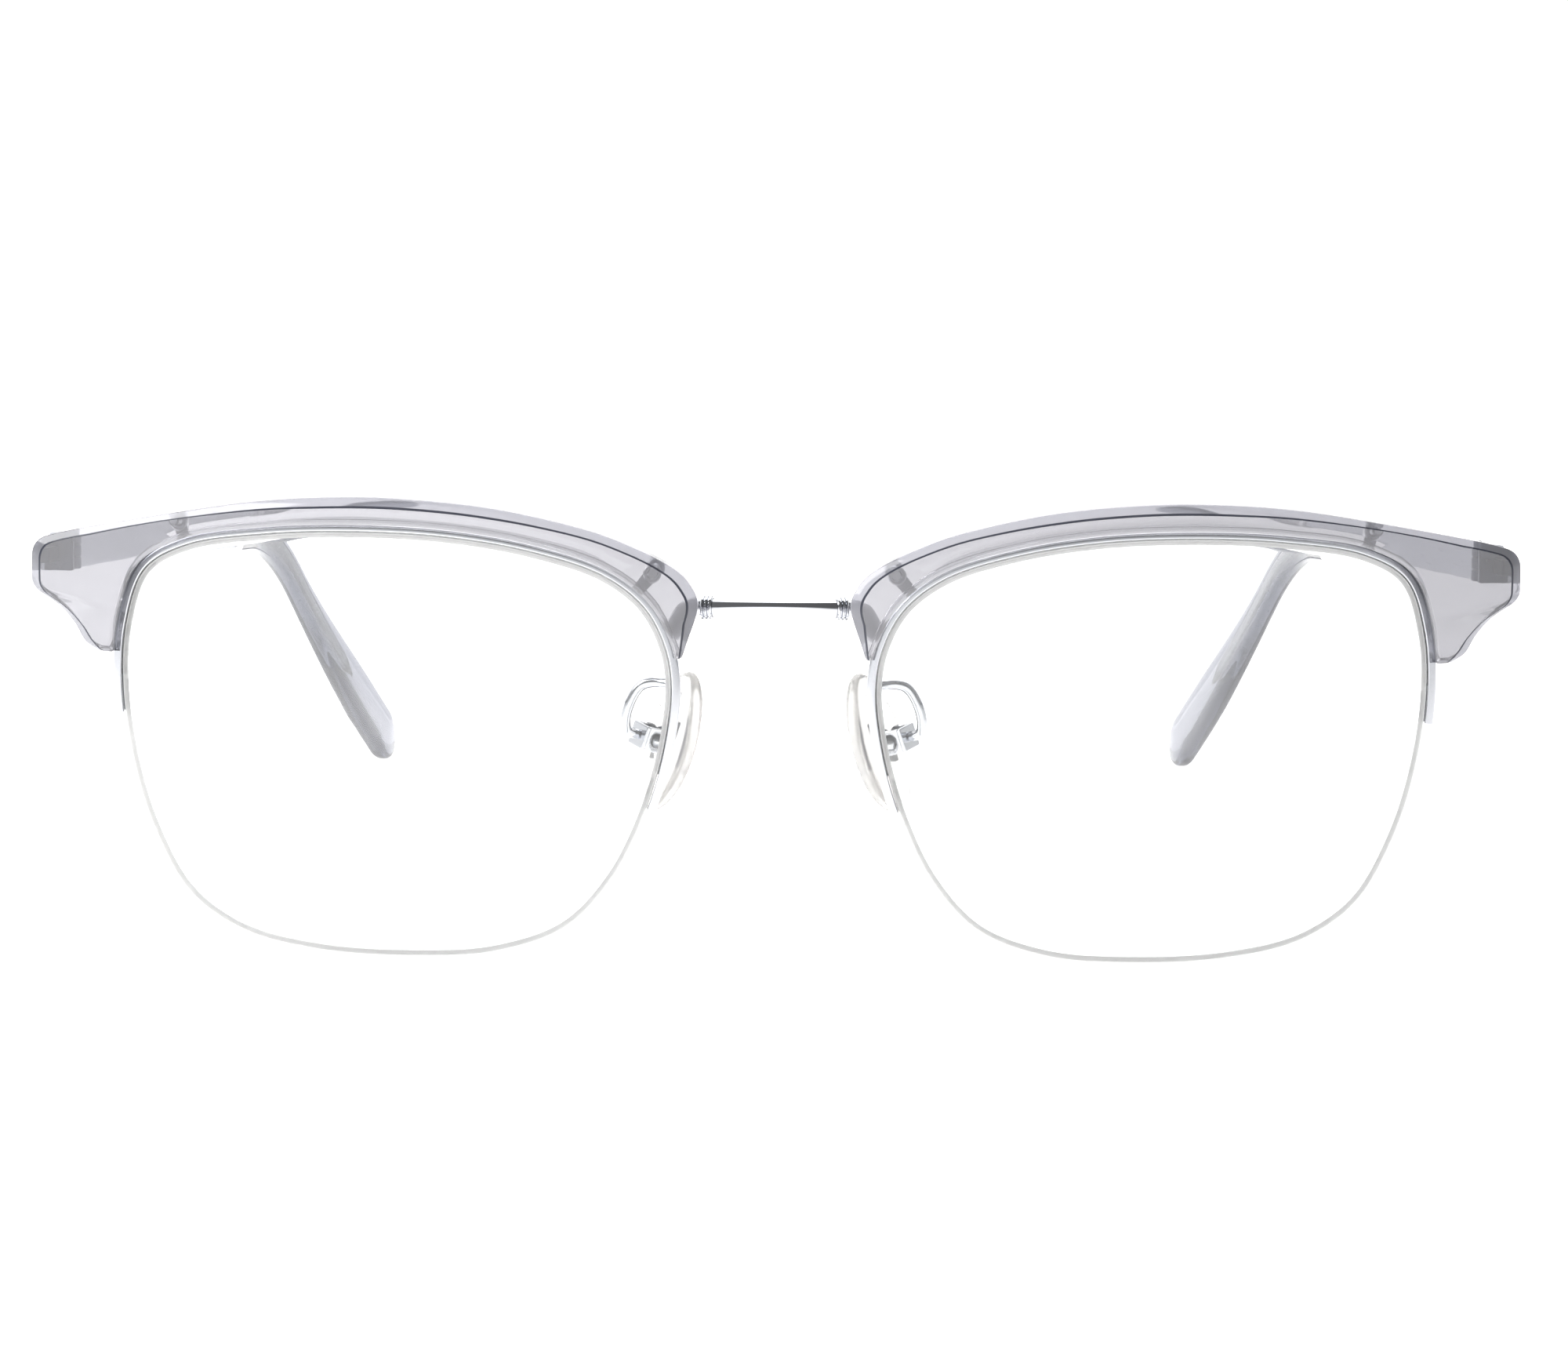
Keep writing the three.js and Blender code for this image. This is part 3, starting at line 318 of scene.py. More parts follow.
AS_Y = [[1, 0, 0], [0, 0, -1], [0, 1, 0]]  # turns a part's Z axis to +Y
AS_X = [[0, 1, 0], [0, 0, 1], [1, 0, 0]]  # and to +X
AS_MINUS_X = [[0, 0, 1], [0, 1, 0], [-1, 0, 0]]  # and to -X
print("a block is", len(block((0, 0, 0), (1, 1, 1), 0.1)[1]), "faces")

# %% [markdown]
# ## The sheet that the front lies on
# A spectacle front is bent: the lenses follow a base curve and each side leans back to its temple. It
# could be modelled flat and bent by a modifier, but then it would no longer fit the CAD model. So one
# function gives that depth, and the lens edge is one closed curve. Every front part is a distance out
# from the lens edge and a depth behind the sheet, so the parts fit however the outline bends.

# %% Curved sheet
NASAL, EYE_WIDTH, EYE_HEIGHT = 9.6, 52.0, 40.0
LENS_CENTRE = (NASAL + EYE_WIDTH / 2, EYE_HEIGHT / 2)
BASE_RADIUS, LEAN = 150.0, math.tan(math.radians(4))


def sweep_back(x, z):
    """Depth of the front: (dx^2 + dz^2) / 2R + dx tan 4 degrees, from the lens centre."""
    dx, dz = x - LENS_CENTRE[0], z - LENS_CENTRE[1]
    return (dx**2 + dz**2) / (2 * BASE_RADIUS) + dx * LEAN


print("the lens edge by the temple lies", round(float(sweep_back(NASAL + EYE_WIDTH, 20)), 1), "mm back")

# %% Lens edge
# Shares of the lens's width and height, from the lowest point round by the temple side.
OUTLINE = [
    [0.46, 0], [0.642, 0.01], [0.781, 0.052], [0.879, 0.14], [0.942, 0.285], [0.981, 0.45],
    [1, 0.637], [0.992, 0.787], [0.958, 0.905], [0.881, 0.962], [0.738, 0.991], [0.575, 1],
    [0.402, 0.99], [0.248, 0.957], [0.123, 0.904], [0.05, 0.832], [0.012, 0.74], [0, 0.645],
    [0.013, 0.5], [0.046, 0.35], [0.104, 0.195], [0.19, 0.075], [0.315, 0.015],
]
outline = np.array(OUTLINE) * [EYE_WIDTH, EYE_HEIGHT] + [NASAL, 0]
lens_edge = curve_through(outline, 80, closed=True, power=0.5)
EDGE_LENGTH = float(np.linalg.norm(np.diff(lens_edge, axis=0), axis=1).sum())
print("lens edge", round(EDGE_LENGTH, 1), "mm")

# %% Places beside the lens edge
TEMPLE_SIDE, NOSE_SIDE = (0.05, 0.4), (0.65, 0.95)  # shares of the edge where it climbs and falls


def beside(u, out, depth):
    """Points beside the lens edge at shares u of its length: outwards by out and back by depth."""
    u, out, depth = np.broadcast_arrays(np.asarray(u, float), out, depth)
    point, way = along(lens_edge, np.mod(u.ravel(), 1.0))
    x = point[:, 0] + way[:, 1] * out.ravel()
    z = point[:, 1] - way[:, 0] * out.ravel()
    return np.stack([x, depth.ravel() + sweep_back(x, z), z], -1).reshape(*u.shape, 3)


def swept(u, section):
    """A section of (out, depth) corners carried round the lens edge at shares u."""
    section = np.array(section, float)
    return beside(np.asarray(u)[:, None], section[None, :, 0], section[None, :, 1])


def place_at_height(height, side):
    """The share of the lens edge at which it passes a height on its temple side or its nose side."""
    u = np.linspace(*side, 4000)
    z = along(lens_edge, u)[0][:, 1]
    return float(u[np.argmin(np.abs(z - height))])


RIM_START = place_at_height(22.7, TEMPLE_SIDE)
RIM_END = place_at_height(14.3, NOSE_SIDE)
BROW_START = place_at_height(28.4, TEMPLE_SIDE)
BROW_END = place_at_height(28.4, NOSE_SIDE)
print("half-rim from", round(RIM_START, 3), "to", round(RIM_END, 3), "of the lens edge")

# %% From the drawing to the frame
# The drawing's zero is under the bridge; the frame's own zero is given by where it has the left hinge.
HINGE_X, HINGE_Z, HINGE_BEHIND = 67.3, 37.3, 4.5
HINGE = np.array([HINGE_X, float(sweep_back(HINGE_X, HINGE_Z)) + HINGE_BEHIND, HINGE_Z])
joint_at = {joint["name"]: np.array(joint["pos_m"]) / MM for joint in frame["joints"]}
TO_FRAME = joint_at["temple_hinge_left"] - HINGE
print("drawing to frame", np.round(TO_FRAME, 3))


# %% Marks on faces
def mark(marked, strip, values):
    """Writes one number for each face, which a material reads to tell one strip of the surface from
    another. Faces past the end of the values get 0."""
    for piece in marked:
        numbers = np.zeros(len(piece.data.polygons), np.float32)
        numbers[: values.size] = values.ravel()
        piece.data.attributes.new(strip, "FLOAT", "FACE").data.foreach_set("value", numbers)


# %% One function that makes every piece
PAIR = ("left", "right")
SAME_POINT = 0.001  # mm; points closer than this are one point


def make(name, node, parts, finishes, body="front", sharp=38.0, sides=PAIR, marks=None):
    """Makes a piece from closed parts, once for each side, puts it on its body, hides the CAD node that
    it stands for, and returns its objects. Marks are the numbers of the faces' finishes, where there is
    more than one. Edges steeper than sharp, in degrees, stay hard."""
    offsets = np.cumsum([0] + [len(points) for points, _ in parts]).tolist()
    faces = [[v + start for v in face] for (_, flat), start in zip(parts, offsets) for face in flat]
    points = np.concatenate([points for points, _ in parts]) + TO_FRAME
    made = []
    for side in sides:
        tail = f"_{side}" if side else ""
        mirror = [-1, 1, 1] if side == "right" else [1, 1, 1]
        mesh = bpy.data.meshes.new(name + tail)
        mesh.from_pydata((points * mirror * MM).tolist(), [], faces)
        for finish in finishes:
            mesh.materials.append(finish)
        if marks is not None:
            mesh.polygons.foreach_set("material_index", np.asarray(marks, np.int32))
        shell = bmesh.new()
        shell.from_mesh(mesh)
        bmesh.ops.remove_doubles(shell, verts=shell.verts, dist=SAME_POINT * MM)
        bmesh.ops.recalc_face_normals(shell, faces=shell.faces)
        shell.to_mesh(mesh)
        shell.free()
        mesh.shade_smooth()
        mesh.set_sharp_from_angle(angle=math.radians(sharp))
        piece = bpy.data.objects.new(name + tail, mesh)
        bpy.context.scene.collection.objects.link(piece)
        shading = piece.modifiers.new("even_shading", "WEIGHTED_NORMAL")
        shading.keep_sharp = True
        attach(piece, body if body == "front" else body + tail)
        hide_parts(node + tail)
        made.append(piece)
    print(f"{name}: {len(points)} points, {len(faces)} faces")
    return made


# %% [markdown]
# ## Finishes
# Two kinds of stuff make this object. Its metals differ only in colour and in how they were worked:
# polished, brushed, stamped, turned, soldered or left rough. Its plastics, which are acetate, lens
# plastic, nylon and silicone, are all clear or milky. Their look is mostly what is behind them: the
# refractive index bends it, and absorption inside the body darkens it where the light goes further.

# %% A base for every finish
def finish_of(name, colour, roughness, **sockets):
    """A material with one Principled shader. Sockets are more of its values, by their names with _ for
    a space."""
    material = bpy.data.materials.new(name)
    material.use_nodes = True
    tree = material.node_tree
    shader = tree.nodes["Principled BSDF"]
    shader.inputs["Base Color"].default_value = linear(colour)
    shader.inputs["Roughness"].default_value = roughness
    for key, value in sockets.items():
        shader.inputs[key.replace("_", " ")].default_value = value
    return material, tree, shader


def on_object(tree, stretch=(1, 1, 1)):
    """Object coordinates in millimetres; an axis with a number below 1 has its pattern drawn out."""
    place = add(tree, "ShaderNodeTexCoord").outputs["Object"]
    scale = tuple(share / MM for share in stretch)
    return add(tree, "ShaderNodeMapping", {"Vector": place, "Scale": scale}).outputs[0]


def ripple(tree, shader, vector, size, depth):
    """A bump of noise: size is the distance between its waves and depth their height, both in mm."""
    noise = add(tree, "ShaderNodeTexNoise", {"Vector": vector, "Scale": 1 / size, "Detail": 2.0})
    bump = {"Height": noise.outputs[0], "Distance": depth * MM, "Strength": 1.0}
    bump = add(tree, "ShaderNodeBump", bump)
    tree.links.new(bump.outputs[0], shader.inputs["Normal"])
    return noise


# %% Cellulose acetate, cut from sheet, tumbled and polished
# Clear grey all through. Light that crosses the thickness of a brow bar keeps a bit under 70 % of every
# colour. Tumbling leaves a surface that is glossy but never optically flat, with waves about 5 mm apart.
# The face is milky and the bevel is cut after that; the bevel's darker grey is painted shade, and the
# thin dark line on the edge between them is painted shade in place of the bevel's edge seen reflected
# inside.
# All of that is one shader with attributes, because a body with two volume shaders lets light slip
# in by one and out by the other, and then goes black.
SHEET = 4.5  # mm, the thickness that the kept light is given for


def acetate(name, colours, clear, keeps, roughness):
    """Acetate with colours and clear shares for its face, its bevel and the edge between them, which the
    mesh's attributes tell apart. On the brow bars the bevel's and the edge's colours are painted shade.
    It absorbs -ln(kept) / thickness per metre in each of the colours."""
    material, tree, shader = finish_of(name, colours[0], roughness, Transmission_Weight=clear[0],
                                       IOR=1.48)
    ripple(tree, shader, on_object(tree), 5.0, 0.002)
    tint, share = linear(colours[0]), clear[0]
    # On the brow bars the bevel strip's darker grey and the edge strip's dark line are painted shade.
    for strip, hex_colour, strip_clear in zip(("bevel", "edge"), colours[1:], clear[1:]):
        here = add(tree, "ShaderNodeAttribute", attribute_name=strip).outputs["Fac"]
        tint = {0: here, 6: tint, 7: linear(hex_colour)}
        tint = add(tree, "ShaderNodeMix", tint, data_type="RGBA").outputs[2]
        share = add(tree, "ShaderNodeMix", {0: here, 2: share, 3: strip_clear}).outputs[0]
    tree.links.new(tint, shader.inputs["Base Color"])
    tree.links.new(share, shader.inputs["Transmission Weight"])
    loss = -np.log(np.array(keeps)) / (SHEET * MM)
    density = float(loss.max())
    colour = (*(1 - loss / density).tolist(), 1.0)
    body = add(tree, "ShaderNodeVolumeAbsorption", {"Color": colour, "Density": density})
    tree.links.new(body.outputs[0], tree.nodes["Material Output"].inputs["Volume"])
    return material


# The bevel's #C8C9D1 and the edge's #43454F are painted shade: a darker bevel and a thin dark edge line.
brow_acetate = acetate(
    "cellulose_acetate_polished", ("#D6D6DB", "#C8C9D1", "#43454F"), (0.72, 0.66, 0.1),
    (0.685, 0.683, 0.698), 0.04)
tip_acetate = acetate(
    "cellulose_acetate_tip", ("#C4C5CD", "#F4F4F5"), (0.82, 0.05), (0.32, 0.33, 0.38), 0.03)
print("acetate:", brow_acetate.name, tip_acetate.name)


# %% A helper for bare metal
def metal(name, colour, smooth, rough, size, depth, stretch=(1, 1, 1)):
    """A bare metal with a ripple. Its roughness follows the ripple from smooth to rough; where the two
    are the same it is even."""
    material, tree, shader = finish_of(name, colour, smooth, Metallic=1.0)
    noise = ripple(tree, shader, on_object(tree, stretch), size, depth)
    if rough > smooth:
        spread = {"Value": noise.outputs[0], "To Min": smooth, "To Max": rough}
        spread = add(tree, "ShaderNodeMapRange", spread)
        tree.links.new(spread.outputs[0], shader.inputs["Roughness"])
    print("metal:", name)
    return material


# %% Polished and plated nickel silver
# Rolled wire, polished before plating: a mirror with very fine lines from the mop, which show as a soft
# spread of its highlights. The lines are 0.05 mm apart; here 0.3 mm, so that they show at all.
plated_metal = metal("palladium_plated_nickel_silver", "#C8CACF", 0.05, 0.16, 0.3, 0.0002, (0.3, 1, 1))

# %% Brushed nickel silver
# The temple shafts are brushed along their length, so they are a darker satin grey, with lines that run
# from the hinge to the ear. Real lines are 0.05 mm apart; here 0.25 mm.
brushed_metal = metal("nickel_silver_brushed", "#A8ABB2", 0.18, 0.32, 0.25, 0.0006, (1, 0.04, 1))

# %% Stamped nickel silver
# Hinge leaves and inserts are only tumbled, so they are duller, with a grain of 0.4 mm; colour dark
# grey.
stamped_metal = metal("nickel_silver_stamped", "#4C505C", 0.22, 0.4, 0.4, 0.003)

# %% Turned steel
# Screw heads are faced on a lathe, which leaves fine marks; here they are streaks 0.12 mm apart.
turned_steel = metal("stainless_steel_turned", "#C9CACC", 0.2, 0.2, 0.12, 0.001, (1, 0.2, 1))

# %% Silver solder
# A soldered joint is pickled after it is made, which leaves a pale satin silver with a 0.3 mm grain.
silver_solder = metal("silver_solder_pickled", "#F3F3F4", 0.35, 0.35, 0.3, 0.004)

# %% Rough nickel silver
# The stud that holds a hinge in the acetate is left rough, so that it bites; its colour is near black.
rough_stud = metal("nickel_silver_rough", "#1E212B", 0.45, 0.45, 0.3, 0.01)


# %% A helper for clear plastic
def plastic(name, colour, roughness, clear, index, size, depth):
    """A plastic with a ripple: clear is its share of light that passes and index how far it bends."""
    material, tree, shader = finish_of(name, colour, roughness, Transmission_Weight=clear, IOR=index)
    ripple(tree, shader, on_object(tree), size, depth)
    print("plastic:", name)
    return material


# %% Lens plastic with a hard coat, and its ground edge
# Allyl resin with an anti-reflection coat: nothing to see but its edge. The edge is ground and not
# polished, so it is a fine frost that looks pale grey against white.
lens_plastic = plastic("allyl_resin_hard_coated", "#FDFEFE", 0.0, 1.0, 1.5, 30.0, 0.0005)
ground_edge = plastic("allyl_resin_ground_edge", "#FEFEFE", 0.4, 0.5, 1.5, 0.15, 0.004)

# %% Nylon and silicone
# Nylon line is drawn clear and turns slightly milky. Silicone is moulded, which gives it a soft gloss
# over a grain of 0.25 mm, and it stays a little cloudy.
clear_nylon = plastic("nylon_drawn", "#F2F3F2", 0.15, 0.85, 1.53, 0.5, 0.002)
clear_silicone = plastic("silicone_moulded", "#FFFEFC", 0.1, 0.7, 1.41, 0.25, 0.003)

# %% [markdown]
# ## Lenses
# A meniscus with a groove for the filament. It could be a disc with the groove cut out by a Boolean,
# but rings that shrink towards the lens centre give one closed skin: front, bevel, groove and back.

# %% Lens
LENS_HALF, GROOVE_HALF, GROOVE_DEPTH = 0.95, 0.31, 0.56
round_lens = np.linspace(0, 1, 320, endpoint=False)
edge_points = along(lens_edge, round_lens)[0]


def disc(shares, depth):
    """Rings inside the lens edge: centre + share (edge - centre), laid on the sheet at depth."""
    shares = np.asarray(shares)[:, None, None]
    flat = np.array(LENS_CENTRE) + shares * (edge_points - LENS_CENTRE)
    x, z = flat[..., 0], flat[..., 1]
    return np.stack([x, depth + sweep_back(x, z), z], -1)


shares = np.array([0, 0.12, 0.26, 0.4, 0.54, 0.68, 0.8, 0.9, 0.96])  # 0 is the lens centre
edge_section = [
    (-0.16, -LENS_HALF), (-0.05, -LENS_HALF + 0.04), (0, -LENS_HALF + 0.15), (0, -GROOVE_HALF),
    (-GROOVE_DEPTH, -GROOVE_HALF), (-GROOVE_DEPTH, GROOVE_HALF), (0, GROOVE_HALF),
    (0, LENS_HALF - 0.15), (-0.05, LENS_HALF - 0.04), (-0.16, LENS_HALF),
]
edge_rings = swept(round_lens, edge_section).transpose(1, 0, 2)
rings = np.concatenate([disc(shares, -LENS_HALF), edge_rings, disc(shares[::-1], LENS_HALF)])
on_edge = np.zeros(len(rings) - 1, int)
on_edge[len(shares) : -len(shares)] = 1
lens_marks = np.append(np.repeat(on_edge, rings.shape[1]), [0, 0])
make("meniscus_lens", "lens", [loft(rings)], [lens_plastic, ground_edge], sharp=30,
     marks=lens_marks)

# %% [markdown]
# ## Filament and liner
# A nylon line half sunk in the groove holds the lower half of the lens, and its ends go into holes in
# the rim. Above, a nylon strip of T section lies between the lens and the rim. Both could be curves with
# a bevel, but as rings beside the lens edge they fit the groove and the slot exactly.

# %% Filament
LINE_RADIUS, LINE_SUNK = 0.25, 0.26
ENTRY = 3.0 / EDGE_LENGTH  # how far each end goes into the rim
turn = np.linspace(0, 2 * np.pi, 16, endpoint=False)
line_section = np.stack([LINE_RADIUS * np.cos(turn) - LINE_SUNK, LINE_RADIUS * np.sin(turn)], -1)
below = np.linspace(RIM_END - ENTRY, 1 + RIM_START + ENTRY, 260)
make("filament", "retaining_filament", [loft(swept(below, line_section))], [clear_nylon])

# %% Liner
liner_section = [(-0.36, -0.21), (0.05, -0.21), (0.05, -0.6), (0.4, -0.6),
                 (0.4, 0.6), (0.05, 0.6), (0.05, 0.21), (-0.36, 0.21)]
STOPS_SHORT = 3.5 / EDGE_LENGTH  # of each end of the rim
above_lens = np.linspace(RIM_START + STOPS_SHORT, RIM_END - STOPS_SHORT, 240)
liner_rings = soften(swept(above_lens, liner_section), 0.05, 2)
make("liner", "rim_liner", [loft(liner_rings)], [clear_nylon])

# %% [markdown]
# ## Half-rims
# Rolled wire with a slot inside. Each rim also has two soldered tabs that stand behind the brow bar, and
# the brow screws go through them. A tab is a turned eye and a short step that follows the rim, so both
# can be placed by their share of the lens edge.

# %% Places on the front
BROW_BACK, FLUSH_BACK = 2.4, 1.25
THICKENS_AT, THICKENS_OVER = 0.5, 0.155  # shares of the lens edge


def brow_back(u):
    """Depth of the brow's back: flush with the rim, then smoothly out to the end piece's thickness."""
    t = np.clip((THICKENS_AT - np.asarray(u)) / THICKENS_OVER, 0, 1)
    return FLUSH_BACK + (BROW_BACK - FLUSH_BACK) * t * t * (3 - 2 * t)


def square_on(x, z, depth):
    """Axes across, back and up that stand square to the front at a place on it, and the place."""
    slope_x = (x - LENS_CENTRE[0]) / BASE_RADIUS + LEAN
    slope_z = (z - LENS_CENTRE[1]) / BASE_RADIUS
    across = np.array([1, slope_x, 0]) / math.hypot(1, slope_x)
    back = np.array([-slope_x, 1, -slope_z]) / math.sqrt(1 + slope_x**2 + slope_z**2)
    return [across, back, np.cross(across, back)], [x, depth + sweep_back(x, z), z]


BEHIND = 0.1  # mm of air between the brow and a tab
SCREWS = {"outer": (0.392, 2.1), "inner": (place_at_height(34.3, NOSE_SIDE), 2.5)}
seats = {}
for screw_name, (u, out) in SCREWS.items():
    spot = beside(u, out, 0)
    seats[screw_name] = square_on(spot[0], spot[2], float(brow_back(u)) + BEHIND)
print("screws at", {name: np.round(place, 1).tolist() for name, (_, place) in seats.items()})

# %% Rim wire and tabs
RIM_GAP, RIM_OUTER, RIM_BACK = 0.1, 0.9, 1.2
TAB, TAB_THICK, TAB_EDGE = 0.85, 0.6, 0.1  # the eye at the end of each tab
STEP_WIDE, STEP_THICK = 1.1, 0.45
rim_section = [(RIM_GAP, -RIM_BACK), (RIM_OUTER, -RIM_BACK), (RIM_OUTER, RIM_BACK), (RIM_GAP, RIM_BACK),
               (RIM_GAP, 0.65), (0.5, 0.65), (0.5, -0.65), (RIM_GAP, -0.65)]
rim_radii = np.array([0.12, 0.26, 0.26, 0.12, 0.05, 0.05, 0.05, 0.05])[:, None]
rim_path = np.linspace(RIM_START, RIM_END, 420)
rim_parts = [loft(soften(swept(rim_path, rim_section), rim_radii))]
for screw_name, (u, out) in SCREWS.items():
    tab = [(0, 0), (TAB - TAB_EDGE, 0), (TAB, TAB_EDGE), (TAB, TAB_THICK - TAB_EDGE),
           (TAB - TAB_EDGE, TAB_THICK), (0, TAB_THICK)]
    rim_parts.append(placed(placed(turned(tab, 36), AS_Y, (0, 0, 0)), *seats[screw_name]))
    front_face = float(brow_back(u)) + 2 * BEHIND
    back_face = front_face + STEP_THICK
    step = [(0.2, 0.9), (0.85, 0.9), (0.85, front_face), (out - 0.6, front_face),
            (out - 0.6, back_face), (0.2, back_face)]
    reach = STEP_WIDE / 2 / EDGE_LENGTH
    rim_parts.append(loft(soften(swept(np.linspace(u - reach, u + reach, 12), step), 0.12)))
soldered = np.ones(sum(len(faces) for _, faces in rim_parts), int)
soldered[: len(rim_parts[0][1])] = 0
make("rim_wire", "half_rim", rim_parts, [plated_metal, silver_solder], marks=soldered)

# %% [markdown]
# ## Brow bars
# Each is cut from acetate sheet: a bar that follows the lens top and grows into an end piece at the
# temple. It could be an extruded outline with a Bevel modifier, but its section changes all the way
# round. So it is lofted between two curves, the lip by the lens and the outer edge, with a rebate
# behind for the rim and a bevel round the front face.

# %% The brow's outer edge
TEMPLE = NASAL + EYE_WIDTH
END = TEMPLE + 9.0
TOP = EYE_HEIGHT
END_TALL, UNDERSIDE_TALL = 6.1, 5.5


def low(share):
    """Height on the underside of the end piece, from its bottom (0) to the brow's foot (1)."""
    return TOP - END_TALL - UNDERSIDE_TALL * share


def quarter(start, control, end, steps=14):
    """A quadratic curve: (1-t)^2 start + 2t(1-t) control + t^2 end."""
    t = np.linspace(0, 1, steps)[:, None]
    a, b, c = (np.array(p, float) for p in (start, control, end))
    return (1 - t) ** 2 * a + 2 * t * (1 - t) * b + t**2 * c


RIM_ROOM = RIM_OUTER + 0.1  # the rebate is this far from the lens edge
outer_foot = beside(BROW_START, RIM_ROOM + 1.1, 0)[[0, 2]]
inner_foot = beside(BROW_END, RIM_ROOM + 0.4, 0)[[0, 2]]
underside = curve_through([
    outer_foot, (END - 5.5, low(0.82)), (END - 4.4, low(0.51)), (END - 2.9, low(0.23)),
    (END - 0.85, low(0)),
], 16)
N, A = NASAL, EYE_WIDTH
crest = curve_through([
    (END - 1.6, TOP - 0.8), (TEMPLE + 4.4, TOP - 0.1), (N + 0.923 * A, TOP + 1.4),
    (N + 0.746 * A, TOP + 2.8), (N + 0.59 * A, TOP + 3.3), (N + 0.458 * A, TOP + 3.15),
    (N + 0.306 * A, TOP + 2.3), (N + 0.155 * A, TOP + 0.55), (N + 3.2, TOP - 1.25),
    (N - 0.15, TOP - 3), (N - 1.8, TOP - 4.6), (N - 2.5, TOP - 6.6), (N - 1.5, low(0.7)), inner_foot,
], 24)
brow_edge = np.concatenate([
    underside[:-1],
    quarter((END - 0.85, low(0)), (END, TOP - 5.5), (END, TOP - 4.6))[:-1],
    quarter((END, TOP - 2.8), (END, TOP - 1.2), (END - 1.6, TOP - 0.8))[:-1],
    crest,
])
print("the brow's outer edge has", len(brow_edge), "points")

# %% Two curves, and points between them
# The two run at different rates, so that the sections turn the corner of the end piece: its underside
# and end are the first 0.215 of the outer edge, and there the lip has come to 0.36 of the lens edge.
LIP, FRONT, BEVEL, BEVEL_DEPTH, SMALL = 0.72, 2.6, 1.0, 0.45, 0.25
CORNER_U, CORNER_EDGE = 0.36, 0.215
brow_u = [np.linspace(BROW_START, CORNER_U, 110), np.linspace(CORNER_U, BROW_END, 330)[1:]]
brow_u = np.concatenate(brow_u)
edge_share = np.interp(brow_u, [BROW_START, CORNER_U, BROW_END], [0, CORNER_EDGE, 1])
outer = along(brow_edge, edge_share)[0]
lip = beside(brow_u, LIP, 0)[:, [0, 2]]
inward = lip - outer
width = np.linalg.norm(inward, axis=1)
inward /= width[:, None]


def from_edge(inset, depth):
    """Points in from the brow's outer edge, towards the lens, at a depth behind the sheet."""
    x, z = (outer + inward * np.broadcast_to(inset, width.shape)[:, None]).T
    return np.stack([x, depth + sweep_back(x, z), z], -1)


print("brow bar", round(float(width.min()), 2), "to", round(float(width.max()), 2), "mm wide")

# %% Brow bar
# The end piece has a chamfer along its back edge, deepest a little before the corner.
CHAMFER, CHAMFER_AT, CHAMFER_REACH, CHAMFER_MOST = 1.1, 0.16, 0.07, 0.6
rebate = -RIM_BACK - 0.1
behind_rim = np.minimum(RIM_ROOM, LIP + 0.62 * width)
back = brow_back(brow_u)
nearness = 1 - np.abs(edge_share - CHAMFER_AT) / CHAMFER_REACH
chamfer = SMALL + CHAMFER * np.clip(nearness, 0, CHAMFER_MOST)
brow_rings = np.stack([
    beside(brow_u, LIP + np.minimum(SMALL, 0.2 * width), -FRONT),
    beside(brow_u, LIP, -FRONT + SMALL),
    beside(brow_u, LIP, rebate),
    beside(brow_u, behind_rim, rebate),
    beside(brow_u, behind_rim, back),
    from_edge(np.minimum(chamfer, 0.15 * width), back),
    from_edge(0, back - chamfer),
    from_edge(0, -FRONT + BEVEL_DEPTH),
    from_edge(np.minimum(BEVEL, 0.35 * width), -FRONT),
], axis=1)
brow_radii = np.array([0.16, 0.16, 0.1, 0.08, 0.1, 0.16, 0.16, 0.14, 0.12])[:, None]
brow_skin = shrink_ends(soften(brow_rings, brow_radii), 0.18)
brows = make("brow", "brow_bar", [loft(brow_skin)], [brow_acetate], sharp=25)

# %% Bevel and edge of the brow bar
# Corner 7 of the section starts the bevel and corner 8 is the edge of the face. Each corner has four
# faces round it and then a flat one, and the bevel's flat face belongs to the bevel.
# These two strips carry the painted shade: the darker grey of the bevel and the dark line of the edge.
for strip, corner, count in (("bevel", 7, 5), ("edge", 8, 4)):
    on_strip = np.zeros((len(brow_skin) - 1, len(brow_radii), 5))
    on_strip[:, corner, :count] = 1
    mark(brows, strip, on_strip)
    print(strip, "has", int(on_strip.sum()), "faces")

# %% [markdown]
# ## Screws
# A slotted head can't be turned in one go, because the slot breaks its round shape, and a Boolean would
# leave ragged faces. So the head is a set of slices across the slot: each slice is as wide as the circle
# there, and lower where the slot is.

# %% Slotted screws
HEAD_TALL, SLOT_HALF, SLOT_DEEP, HEAD_EDGE = 0.5, 0.14, 0.28, 0.16  # shares of the head's radius


def slotted_head(radius):
    """Slices along Y: half width sqrt(R^2 - y^2), and a top that is lower by the slot's depth between
    -slot and slot."""
    height, slot, depth = HEAD_TALL * radius, SLOT_HALF * radius, SLOT_DEEP * radius
    edge = HEAD_EDGE * radius
    rim = radius * np.sin(np.linspace(-1, 1, 25) * np.pi / 2)
    y = np.concatenate([rim[rim < -slot], [-slot, -slot, slot, slot], rim[rim > slot]])
    sunk = np.zeros(len(y))
    middle = int(np.sum(rim < -slot))
    sunk[middle + 1 : middle + 3] = depth
    half = np.sqrt(np.maximum(radius**2 - y**2, 1e-4))
    top = height - sunk - np.maximum(np.abs(y) - radius + edge, 0)
    bevel = np.minimum(edge, half * 0.6)
    x = np.stack([half, half, half - bevel, bevel - half, -half, -half], -1)
    z = np.stack([0 * top, top - bevel, top, top, top - bevel, 0 * top], -1)
    return loft(np.stack([x, y[:, None] + 0 * x, z], -1))


